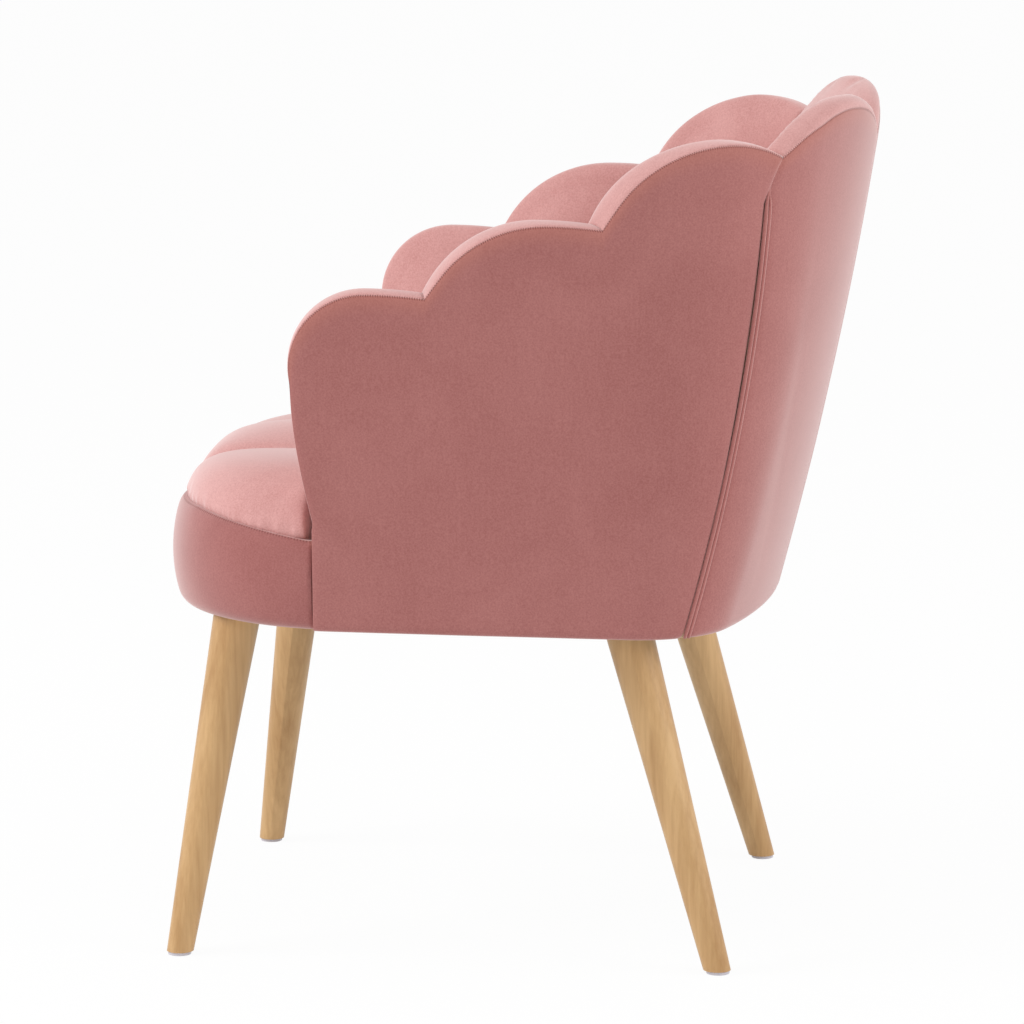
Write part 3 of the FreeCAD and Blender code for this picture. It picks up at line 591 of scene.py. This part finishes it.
def petal_mesh(index, name):
    """One petal of the sitter's left half: a swelling face, a roll over the rim, and a
    plain back against the board."""
    points, seam_map, faces = [], [], []
    top = scallop(index, [column / COLUMNS for column in range(COLUMNS + 1)])
    width = chord(index)

    def add(run, height, inset, mapped=NO_SEAM):
        points.append(Tub(height, inset).at(share_of(index, run)))
        seam_map.append(mapped)
        return len(points) - 1

    face, back = [], []
    for row in range(ROWS + 1):
        part = 1 - (1 - row / ROWS) ** ROW_EASE
        face.append([])
        back.append([])
        for column in range(COLUMNS + 1):
            share = column / COLUMNS
            rim_run, rim_height, lean, rise = top[column]
            end_run = rim_run - INNER_ROLL * lean
            end_height = rim_height - INNER_ROLL * rise
            start = mix(0.0 if index else INNER_ROLL, width, share)
            run = mix(start, end_run, part)
            height = mix(PETAL_FOOT, end_height, part)
            below = end_height - height
            depth = petal_depth(index, share, below, run - INNER_ROLL, height)
            face[row].append(add(run, height, BOARD_FACE + depth))
            back[row].append(add(run, height, BOARD_FACE))

    for row in range(ROWS):
        for column in range(COLUMNS):
            beside = column + 1
            faces.append((face[row][column], face[row][beside], face[row + 1][beside], face[row + 1][column]))
            faces.append((back[row][column], back[row + 1][column], back[row + 1][beside], back[row][beside]))
        faces.append((face[row][-1], back[row][-1], back[row + 1][-1], face[row + 1][-1]))
        if index:
            faces.append((face[row][0], face[row + 1][0], back[row + 1][0], back[row][0]))
    for column in range(COLUMNS):
        faces.append((face[0][column], back[0][column], back[0][column + 1], face[0][column + 1]))

    # The way round the petal's free edge: up the arm's front and along the scallop
    edge = []
    if index == 0:
        first = top[0]
        for row in range(ROWS):
            height = points[face[row][0]].z
            reach = (row / ROWS) ** ARM_TURN
            lean, rise = mix(-1.0, first[2], reach), mix(0.0, first[3], reach)
            rim_run = mix(0.0, first[0], reach)
            rim_height = height + INNER_ROLL * rise
            edge.append((face[row][0], back[row][0], FRONT_ROLL, rim_run, rim_height, lean, rise))
    for column in range(COLUMNS + 1):
        roll = outer_roll(index, column / COLUMNS)
        edge.append((face[ROWS][column], back[ROWS][column], roll, *top[column]))
    along = 0.0
    before = None
    strips = []
    for inner, behind, roll, run, height, lean, rise in edge:
        rim = Tub(height, 0.0).at(share_of(index, run))
        along += (rim - before).length if before else 0.0
        before = rim
        strip = [inner]
        start = points[inner]
        tub = Tub(start.z, 0.0)
        inner_depth = (tub.at(share_of(index, run - INNER_ROLL * lean)) - start).length
        for step in range(1, ROLL_STEPS + 1):
            angle = math.pi * step / ROLL_STEPS
            part = step / ROLL_STEPS
            across = mix((1 - math.cos(angle)) / 2, part, ROLL_EARLY * (1 - part) ** 2)
            lift = math.sin(angle) if part < 0.5 else math.sin(angle) ** ROLL_ROUND
            inside = mix(INNER_ROLL, roll, across) * (1 - lift)
            inset = mix(inner_depth, SEAM_SUNK, across)
            strip.append(add(run - inside * lean, height - inside * rise, inset))
        away = PLAIN_SEAM if roll < PLAIN_SEAM else 0.0
        for corner, beyond in zip(reversed(strip), [None, *reversed(strip)]):
            away += (points[corner] - points[beyond]).length if beyond is not None else 0.0
            seam_map[corner] = (along, away)
        tuck = roll + TUCK
        strip.append(add(run - tuck * lean, height - tuck * rise, BOARD_FACE, (along, 0.0)))
        strip.append(behind)
        strips.append(strip)
    for one, two in zip(strips, strips[1:]):
        for step in range(len(one) - 1):
            faces.append((one[step], two[step], two[step + 1], one[step + 1]))
    faces.append(tuple(strips[0]))
    faces.append(tuple(reversed(strips[-1])))
    petal = make_piece(name, points, faces, seam_map)
    held = {corner for row in back for corner in row} | set(face[0])
    held |= {corner for row in face for corner in (row[-1], *([row[0]] if index else []))}
    held |= {corner for strip in strips for corner in strip[ROLL_STEPS - 1:]}
    held |= set(strips[-1]) | (set(strips[0]) if index else set())
    inflate(petal, sorted(held), PAD_PRESSURE, PETAL_CAP)
    rolled = {corner for strip in strips for corner in strip[CALM_FROM:]}
    calm(petal, held | rolled, CALM_TIMES)
    return petal


def pile_group():
    """Velvet pile: broad brushed patches, short upright streaks and fine grain."""
    group, given, end = new_group(
        "velvet_pile",
        {"Vector": "Vector", "Deep": "Color", "Light": "Color"},
        {"Color": "Color", "Height": "Float"},
    )
    place = given["Vector"]
    broad = put(group, "ShaderNodeTexNoise", {
        "Vector": place, "Scale": 9.0, "Detail": 3.0, "Distortion": 1.2,
    }).outputs[0]
    upright = put(group, "ShaderNodeMapping", {"Vector": place, "Scale": (1, 1, 0.16)})
    streaks = put(group, "ShaderNodeTexNoise", {
        "Vector": upright.outputs[0], "Scale": 330.0, "Detail": 3.0,
    }).outputs[0]
    grain = put(group, "ShaderNodeTexNoise", {
        "Vector": place, "Scale": 620.0, "Detail": 3.0, "Roughness": 0.7,
    }).outputs[0]
    share = calc(group, "MULTIPLY", spread(group, broad, 0.3, 0.7), 0.24)
    share = calc(group, "MULTIPLY_ADD", streaks, 0.22, share)
    share = calc(group, "MULTIPLY_ADD", spread(group, grain, 0.34, 0.66), 0.50, share)
    feed(group, end, {"Color": blend(group, share, given["Deep"], given["Light"]), "Height": grain})
    return group


def stitch_group():
    """Short dark stitches drawn tight across a seam, with the cloth puckered between."""
    group, given, end = new_group(
        "seam_stitches",
        {"Map": "Vector", "Pitch": "Float", "Reach": "Float"},
        {"Mask": "Float", "Pucker": "Float"},
    )
    along, away, _ = put(group, "ShaderNodeSeparateXYZ", {0: given["Map"]}).outputs
    turns = calc(group, "DIVIDE", along, given["Pitch"])
    wave = calc(group, "SINE", calc(group, "MULTIPLY", turns, 2 * math.pi))
    near = calc(group, "DIVIDE", away, given["Reach"])
    stitch = spread(group, wave, 0.0, 0.5)
    fade = spread(group, near, 0.7, 1.0, 0.72, 0.0)
    wide = spread(group, near, 0.0, 3.5, 1.0, 0.0)
    feed(group, end, {
        "Mask": calc(group, "MULTIPLY", stitch, fade),
        "Pucker": calc(group, "MULTIPLY", wave, wide),
    })
    return group


velvet_pile = pile_group()
seam_stitches = stitch_group()
VELVET_DEEP = (0.340, 0.120, 0.112)
VELVET_LIGHT = (0.500, 0.215, 0.200)
# Painted light: a lighter copy of the velvet's colours, painted as lit, for the petals and the seat.
INSIDE_PAINTED_LIT_DEEP = (0.54, 0.25, 0.235)
INSIDE_PAINTED_LIT_LIGHT = (0.76, 0.43, 0.41)
VELVET_WARM = (0.56, 0.215, 0.150)
VELVET_SHEEN = (0.86, 0.70, 0.69)
STITCH_DARK = (0.20, 0.066, 0.056)
WARM_REACH = 0.020


def velvet(name, deep=VELVET_DEEP, light=VELVET_LIGHT, pitch=0.0022, reach=0.0013, painted_sheen_strength=0.75, warm=0.0):
    """Short cotton velvet: deep rose where it is looked at straight, with a painted sheen
    that pales it where the surface is seen from the side, warmer near a seam, and with its stitches."""
    material, tree, shader = new_material(name)
    place = put(tree, "ShaderNodeTexCoord").outputs["Object"]
    pile = put(tree, "ShaderNodeGroup", {
        "Vector": place, "Deep": (*deep, 1), "Light": (*light, 1),
    }, node_tree=velvet_pile)
    seam = put(tree, "ShaderNodeUVMap", uv_map="seam").outputs[0]
    away = put(tree, "ShaderNodeSeparateXYZ", {0: seam}).outputs[1]
    # The colour is warmed towards VELVET_WARM within WARM_REACH of a seam.
    edge = spread(tree, away, 0.0, WARM_REACH, warm, 0.0, interpolation_type="SMOOTHSTEP")
    warmer_near_seam = blend(tree, edge, pile.outputs["Color"], VELVET_WARM)
    # Painted sheen: the base colour is paled towards VELVET_SHEEN where the surface turns side-on to the
    # view, by painted_sheen_strength.
    side_on = put(tree, "ShaderNodeLayerWeight", {"Blend": 0.5}).outputs["Facing"]
    sheen = calc(tree, "MULTIPLY", calc(tree, "POWER", side_on, 3.2), painted_sheen_strength)
    pale = blend(tree, sheen, warmer_near_seam, VELVET_SHEEN)
    stitches = put(
        tree, "ShaderNodeGroup", {"Map": seam, "Pitch": pitch, "Reach": reach}, node_tree=seam_stitches
    ).outputs
    drawn = raised(tree, stitches["Pucker"], 0.2, 0.0008)
    feed(tree, shader, {
        "Base Color": blend(tree, stitches["Mask"], pale, STITCH_DARK),
        "Normal": raised(tree, pile.outputs["Height"], 0.22, 0.0005, {"Normal": drawn}),
        "Roughness": 0.92,
        "Specular IOR Level": 0.15,
        "Sheen Weight": 0.35,
        "Sheen Roughness": 0.4,
        "Sheen Tint": (1.0, 0.80, 0.78, 1),
    })
    return material


def cover(piece, material, node):
    """Put a piece under velvet and in its modelled solid's place."""
    piece.data.materials.clear()
    piece.data.materials.append(material)
    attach(piece, "root")
    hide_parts(node)


def upholster(piece, material, node):
    """Cover a padded piece."""
    cover(piece, material, node)


# The petals take the lighter copy of the velvet, painted as lit.
petal_velvet_painted_lit = velvet("petal_velvet_painted_lit", INSIDE_PAINTED_LIT_DEEP, INSIDE_PAINTED_LIT_LIGHT)
for index, place in enumerate(("front", "side", "corner", "back")):
    petal = petal_mesh(index, "petal_pad_left_" + place)
    upholster(petal, petal_velvet_painted_lit, "petal_left_" + place)
    upholster(mirror_of(petal, "petal_pad_right_" + place), petal_velvet_painted_lit, "petal_right_" + place)


# Outside covers: the two outside arms and the outside back are velvet over a thin
# wadding, stitched to the petals under the rim and closed at the rear by two welts.

WELT_TOP = 0.696
WELT_LOW_REACH = 0.236
WELT_HIGH_REACH = 0.218
WELT_SLOT = 0.0037
SEWN_GAP = 0.0005
COVER_BACK = 0.0077
COVER_ROWS = 72
WELT_CLOSING = 0.012
HOLLOW_FROM = 0.60
HOLLOW_OVER = 0.16
HOLLOW_DEPTH = 0.0058
SEAM_SOFT = 0.0028
UNDER_EDGE = 0.007
UNDER_ROLL = 0.0055
RIPPLE = 0.0007


def seam_share(height):
    """Where the rear seam stands at a height, up the welt and on to the deep valley."""
    tub = Tub(min(height, WELT_TOP))
    reach = mix(WELT_LOW_REACH, WELT_HIGH_REACH, (tub.height - UNDERSIDE) / (WELT_TOP - UNDERSIDE))
    angle = math.acos((reach - tub.corner_x) / tub.corner)
    share = (tub.side + tub.corner * angle) / tub.length
    above = clamp((height - WELT_TOP) / (VALLEY_HEIGHTS[3] - OUTER_ROLL - WELT_TOP))
    return mix(share, VALLEY_SHARES[3], above ** 1.5)


def seam_gap(height):
    """Half the width left for the welt, closing to a plain seam above it."""
    closing = clamp((height - WELT_TOP) / WELT_CLOSING)
    return mix(WELT_SLOT, SEWN_GAP, math.sin(math.pi / 2 * closing)) / Tub(height).length


def eased(count, both_ends):
    """Shares from 0 to 1, closer together at the ends that need fine edges."""
    if both_ends:
        return [(1 - math.cos(math.pi * step / count)) / 2 for step in range(count + 1)]
    return [math.sin(math.pi / 2 * step / count) for step in range(count + 1)]


def hollow(share, height, top):
    """How far the cloth of the back is drawn in between the rim and the underside."""
    behind = clamp((share - HOLLOW_FROM) / HOLLOW_OVER)
    rise = clamp((height - UNDERSIDE) / (top - UNDERSIDE))
    return HOLLOW_DEPTH * behind * math.sin(math.pi * rise) ** 0.8


def cover_mesh(name, panels):
    """A cover from its panels, each the petal it lies behind, its two edges as shares
    at a height, and its columns. Its outer edges sink into their seams."""
    columns = []
    for index, low, high, spacing in panels:
        top = scallop(index, spacing)
        for step, (share, (run, height, lean, rise)) in enumerate(zip(spacing, top)):
            if columns and step == 0:
                continue
            roll = outer_roll(index, share)
            end = (share_of(index, run - roll * lean), height - roll * rise)
            columns.append((low, high, share, end))
    points, seam_map, faces = [], [], []
    along = 0.0
    sides = ([], [])
    before = None
    for low, high, share, (end_share, end_height) in columns:
        rim = Tub(end_height).at(end_share)
        along += (rim - before).length if before else 0.0
        before = rim
        for side, line in enumerate(sides):
            strip = []
            for part in eased(COVER_ROWS, True):
                height = mix(UNDERSIDE, end_height, part)
                first, last = low(height), high(height)
                drawn = end_share - mix(low(end_height), high(end_height), share)
                place = mix(first, last, share) + drawn * part ** 3
                length = Tub(height).length
                edges = [end_height - height]
                if columns[0][0] is low:
                    edges.append((place - first) * length)
                if columns[-1][1] is high:
                    edges.append((last - place) * length)
                sunk = SEAM_SUNK * math.exp(-max(0.0, min(edges)) / SEAM_SOFT)
                under = max(0.0, 1 - (height - UNDERSIDE) / UNDER_EDGE)
                sunk += UNDER_ROLL * (1 - math.sqrt(1 - under ** 2))
                sunk += hollow(place, height, end_height)
                spot = Tub(height, COVER_BACK if side else sunk).at(place)
                if not side:
                    spot += spot.normalized() * RIPPLE * noise.noise(spot * 11.0)
                points.append(spot)
                seam_map.append((along, end_height - height + (PLAIN_SEAM if share == 0 else 0.0)))
                strip.append(len(points) - 1)
            line.append(strip)
    outer, inner = sides
    for one in range(len(columns) - 1):
        for row in range(COVER_ROWS):
            faces.append((outer[one][row], outer[one + 1][row], outer[one + 1][row + 1], outer[one][row + 1]))
            faces.append((inner[one][row], inner[one][row + 1], inner[one + 1][row + 1], inner[one + 1][row]))
        faces.append((outer[one][0], inner[one][0], inner[one + 1][0], outer[one + 1][0]))
        faces.append((outer[one][-1], outer[one + 1][-1], inner[one + 1][-1], inner[one][-1]))
    for row in range(COVER_ROWS):
        faces.append((outer[0][row], outer[0][row + 1], inner[0][row + 1], inner[0][row]))
        faces.append((outer[-1][row], inner[-1][row], inner[-1][row + 1], outer[-1][row + 1]))
    return make_piece(name, points, faces, seam_map)


def arm_front_edge(height):
    """The arm cover meets the seat border below the seat and the petal's roll above it."""
    reach = clamp((height - SEAT_SEAM + 0.004) / 0.010)
    return share_of(0, FRONT_ROLL * reach)


def valley_line(index):
    return lambda height: VALLEY_SHARES[index]


def before_seam(height):
    return seam_share(height) - seam_gap(height)


def after_seam(height):
    return seam_share(height) + seam_gap(height)


near_front = [1 - share for share in reversed(eased(34, False))]
near_seam = eased(40, False)
even = [step / 34 for step in range(35)]
outside_arm = cover_mesh("outside_arm_left", (
    (0, arm_front_edge, valley_line(1), near_front),
    (1, valley_line(1), valley_line(2), even),
    (2, valley_line(2), before_seam, near_seam),
))
cover_velvet = velvet("cover_velvet", warm=0.26)
upholster(outside_arm, cover_velvet, "outside_arm_cover_left")
upholster(mirror_of(outside_arm, "outside_arm_right"), cover_velvet, "outside_arm_cover_right")

near_valley = [1 - share for share in reversed(near_seam)]
outside_back = cover_mesh("outside_back", ((3, after_seam, valley_line(4), near_valley),))
other_half = mirror_of(outside_back, "outside_back_half")
bpy.context.view_layer.objects.active = outside_back
outside_back.select_set(True)
other_half.select_set(True)
bpy.ops.object.join()
bpy.ops.object.select_all(action="DESELECT")
solid = bmesh.new()
solid.from_mesh(outside_back.data)
middle = [face for face in solid.faces if all(abs(corner.co.x) < 1e-5 for corner in face.verts)]
bmesh.ops.delete(solid, geom=middle, context="FACES")
bmesh.ops.remove_doubles(solid, verts=solid.verts, dist=1e-5)
bmesh.ops.recalc_face_normals(solid, faces=solid.faces)
solid.to_mesh(outside_back.data)
solid.free()
upholster(outside_back, cover_velvet, "outside_back_cover")


# Welts: two beads of piping side by side, sewn into each rear seam from the
# underside up to where the seam turns in to the deep valley.

BEAD = 0.0019
BEAD_RINGS = 90
BEAD_SIDES = 12
BEAD_START = 0.0008
BEAD_SUNK = 0.0006
BEAD_TUCK = 0.002
TUB_MIDDLE = 0.08


def bead_mesh(name, side):
    """One bead of velvet over cord, laid along the seam and tucked in at its top."""
    points, seam_map, faces = [], [], []
    path = []
    for ring in range(BEAD_RINGS + 1):
        height = mix(UNDERSIDE + BEAD_START, WELT_TOP + WELT_CLOSING, ring / BEAD_RINGS)
        share = seam_share(height) + side * seam_gap(height) / 2
        sunk = BEAD_SUNK + BEAD_TUCK * max(0.0, (height - WELT_TOP) / WELT_CLOSING)
        path.append(Tub(height, sunk).at(share))
    for ring, spot in enumerate(path):
        ahead = (path[min(ring + 1, BEAD_RINGS)] - path[max(ring - 1, 0)]).normalized()
        out = Vector((spot.x, spot.y - TUB_MIDDLE, 0)).normalized()
        across = ahead.cross(out).normalized()
        out = across.cross(ahead)
        radius = BEAD * min(1.0, math.sqrt((BEAD_RINGS - ring + 0.5) / 6)) * min(1.0, 0.8 + ring / 8)
        for corner in range(BEAD_SIDES):
            angle = 2 * math.pi * corner / BEAD_SIDES
            points.append(spot + across * radius * math.cos(angle) + out * radius * math.sin(angle))
            seam_map.append(NO_SEAM)
    for ring in range(BEAD_RINGS):
        for corner in range(BEAD_SIDES):
            nearby = (corner + 1) % BEAD_SIDES
            one, two = ring * BEAD_SIDES, (ring + 1) * BEAD_SIDES
            faces.append((one + corner, one + nearby, two + nearby, two + corner))
    faces.append(tuple(reversed(range(BEAD_SIDES))))
    faces.append(tuple(range(BEAD_RINGS * BEAD_SIDES, (BEAD_RINGS + 1) * BEAD_SIDES)))
    return make_piece(name, points, faces, seam_map)


welt_velvet = velvet("welt_velvet", (0.39, 0.135, 0.125), (0.52, 0.22, 0.20))
for side, word in ((-1, "outer"), (1, "inner")):
    bead = bead_mesh("welt_left_" + word, side)
    cover(bead, welt_velvet, "welt_left")
    cover(mirror_of(bead, "welt_right_" + word), welt_velvet, "welt_right")


# Seat pad: three foam channels under velvet, round at the front, with the sides
# drawn in to a stitched seam. It is crowned between its channel seams.

SEAT_CHANNEL = 0.068
SEAT_CREST = 0.445
SEAT_SIDE = 0.245
SEAT_FRONT = -0.313
SEAT_ROUND = 0.170
SEAT_VOXEL = 0.0055
SEAT_CAP = 0.006
SEAM_FALL = 0.016
FALL_FROM = -0.285
FALL_OVER = 0.115
MIDDLE_CROWN = 0.015
SIDE_CROWN = 0.005
DOME_FULL = 2.4
FRONT_PUSH = 0.006
PUSH_FROM = 0.17
PUSH_OVER = 0.1
GROOVE_WIDTH = 0.0035
GROOVE_DEPTH = 0.002


def seam_height(point):
    """The seat's seam is level round the front and falls a little towards the arms."""
    behind = clamp((point.y - FALL_FROM) / FALL_OVER)
    return SEAT_SEAM - SEAM_FALL * behind


def front_path(point):
    """How far round the seat's front edge a point lies, from the middle of the front."""
    flat = SEAT_SIDE - SEAT_ROUND
    if abs(point.x) <= flat:
        return point.x
    angle = math.atan2(abs(point.x) - flat, -(point.y - (SEAT_FRONT + SEAT_ROUND)))
    return math.copysign(flat + SEAT_ROUND * angle, point.x)


seat = copy_of("seat_pad", "seat_cushion")
bpy.context.view_layer.objects.active = seat
seat.select_set(True)
remesh = seat.modifiers.new("remesh", "REMESH")
remesh.mode = "VOXEL"
remesh.voxel_size = SEAT_VOXEL
bpy.ops.object.modifier_apply(modifier="remesh")
soften = seat.modifiers.new("soften", "SMOOTH")
soften.factor = 0.5
soften.iterations = 4
bpy.ops.object.modifier_apply(modifier="soften")
held = [
    vertex.index for vertex in seat.data.vertices
    if vertex.co.z < SEAT_SEAM + 0.003 or abs(abs(vertex.co.x) - SEAT_CHANNEL) < 0.006
]
inflate(seat, held, PAD_PRESSURE, SEAT_CAP)
calm(seat, held, 5)
finer = seat.modifiers.new("finer", "SUBSURF")
finer.levels = 1
finer.render_levels = 1
bpy.ops.object.modifier_apply(modifier="finer")
seat.select_set(False)
ways_out = [vertex.normal.copy() for vertex in seat.data.vertices]
for vertex, way_out in zip(seat.data.vertices, ways_out):
    spot = vertex.co
    outside = seam_height(spot) - SEAT_SEAM
    if spot.z > SEAT_SEAM:
        height = (spot.z - SEAT_SEAM) / (SEAT_CREST - SEAT_SEAM)
        if abs(spot.x) < SEAT_CHANNEL:
            lobe, crown = abs(spot.x) / SEAT_CHANNEL, MIDDLE_CROWN
        else:
            lobe = abs(abs(spot.x) - (SEAT_CHANNEL + SEAT_SIDE) / 2) / ((SEAT_SIDE - SEAT_CHANNEL) / 2)
            crown = SIDE_CROWN
        full = 1 - (1 - min(1.0, height)) ** DOME_FULL + max(0.0, height - 1.0)
        spot.z = SEAT_SEAM + (SEAT_CREST - SEAT_SEAM) * full + outside * (1 - min(1.0, height)) ** 2
        spot.z += crown * max(0.0, 1 - lobe ** 2) * min(1.0, height)
        forward = clamp((-spot.y - PUSH_FROM) / PUSH_OVER)
        spot.y -= FRONT_PUSH * max(0.0, math.sin(math.pi * min(1.0, height))) * forward
        groove = math.exp(-((abs(spot.x) - SEAT_CHANNEL) / GROOVE_WIDTH) ** 2)
        spot -= way_out * GROOVE_DEPTH * groove
    elif spot.z > SEAT_SEAM - 0.012:
        spot.z += outside
below = [vertex.index for vertex in seat.data.vertices if vertex.co.z < SEAT_SEAM - 0.004]
calm(seat, below, 8)
layer = seat.data.uv_layers.new(name="seam")
for loop in seat.data.loops:
    spot = seat.data.vertices[loop.vertex_index].co
    layer.data[loop.index].uv = (front_path(spot), abs(spot.z - seam_height(spot)) + 0.0004)
seat.data.shade_smooth()
# The seat takes the lighter copy of the velvet, painted as lit, with a stronger painted sheen.
seat_velvet_painted_lit = velvet("seat_velvet_painted_lit", INSIDE_PAINTED_LIT_DEEP, INSIDE_PAINTED_LIT_LIGHT, pitch=0.0030, reach=0.0009, painted_sheen_strength=0.9)
upholster(seat, seat_velvet_painted_lit, "seat_pad")


# Seat border: a plain band of velvet over foam round the front, full in the middle,
# rolled under at the bottom and sewn to the seat pad along its top.

BORDER_BULGE = 0.009
BORDER_THICK = 0.010
BORDER_END = -0.1623
BORDER_STEPS = 150
BORDER_LEVELS = 34
BORDER_GAP = 0.0003
# Painted shade: the border's velvet colours are a darker copy of the velvet's.
BORDER_PAINTED_SHADE_DEEP = (0.30, 0.10, 0.094)
BORDER_PAINTED_SHADE_LIGHT = (0.45, 0.185, 0.172)


def border_spot(share, out, height):
    """A point on the border, a share of the way round from the right end to the left."""
    flat = SEAT_SIDE - SEAT_ROUND
    centre_y = SEAT_FRONT + SEAT_ROUND
    tail = math.asin((centre_y - BORDER_END) / SEAT_ROUND)
    sweep = math.pi / 2 - tail
    arc = SEAT_ROUND * sweep
    along = (share - 0.5) * 2 * (flat + arc)
    if abs(along) <= flat:
        return Vector((along, SEAT_FRONT - out, height))
    angle = (abs(along) - flat) / SEAT_ROUND
    reach = SEAT_ROUND + out
    side = math.copysign(1.0, along)
    return Vector((side * (flat + reach * math.sin(angle)), centre_y - reach * math.cos(angle), height))


points, seam_map, faces = [], [], []
rows = []
for step in range(BORDER_STEPS + 1):
    share = step / BORDER_STEPS
    row = []
    seam_top = seam_height(border_spot(share, 0.0, SEAT_SEAM)) - BORDER_GAP
    for level in eased(BORDER_LEVELS, True):
        height = mix(UNDERSIDE + BORDER_GAP, seam_top, level)
        out = BORDER_BULGE * (1 - (2 * level - 1) ** 2) ** 0.8
        under = max(0.0, 1 - (height - UNDERSIDE) / 0.010)
        over = math.exp(-(seam_top - height) / 0.0025)
        out -= 0.007 * (1 - math.sqrt(1 - under ** 2)) + 0.0022 * over
        spot = border_spot(share, out, height)
        spot += Vector((spot.x, spot.y, 0)).normalized() * 0.0008 * noise.noise(spot * 13.0)
        points.append(spot)
        seam_map.append((front_path(spot), seam_top - height))
        row.append(len(points) - 1)
    for height in (seam_top, UNDERSIDE + BORDER_GAP):
        points.append(border_spot(share, -BORDER_THICK + 0.0002, height))
        seam_map.append(NO_SEAM)
        row.append(len(points) - 1)
    rows.append(row)
for one, two in zip(rows, rows[1:]):
    for level in range(len(one)):
        nearby = (level + 1) % len(one)
        faces.append((one[level], two[level], two[nearby], one[nearby]))
faces.append(tuple(reversed(rows[0])))
faces.append(tuple(rows[-1]))
border = make_piece("seat_front_border", points, faces, seam_map)
# The border takes the darker copy of the velvet, painted as shade.
border_velvet_painted_shade = velvet("border_velvet_painted_shade", BORDER_PAINTED_SHADE_DEEP, BORDER_PAINTED_SHADE_LIGHT, pitch=0.0030, reach=0.0012, painted_sheen_strength=0.7)
upholster(border, border_velvet_painted_shade, "seat_border")


# Dust cover: thin black nonwoven cloth under the frame, cut out round the legs and
# stapled flat.

dust = copy_of("dust_cover", "bottom_cloth")
material, tree, shader = new_material("bottom_cloth_fibres")
fibres = piece_noise(tree, {"Scale": 900.0, "Detail": 3.0, "Distortion": 2.0})
feed(tree, shader, {
    "Base Color": blend(tree, fibres, (0.018, 0.018, 0.019), (0.06, 0.06, 0.062)),
    "Normal": raised(tree, fibres, 0.3, 0.0003),
    "Roughness": 0.95,
})
dust.data.materials.append(material)
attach(dust, "root")
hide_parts("dust_cover")
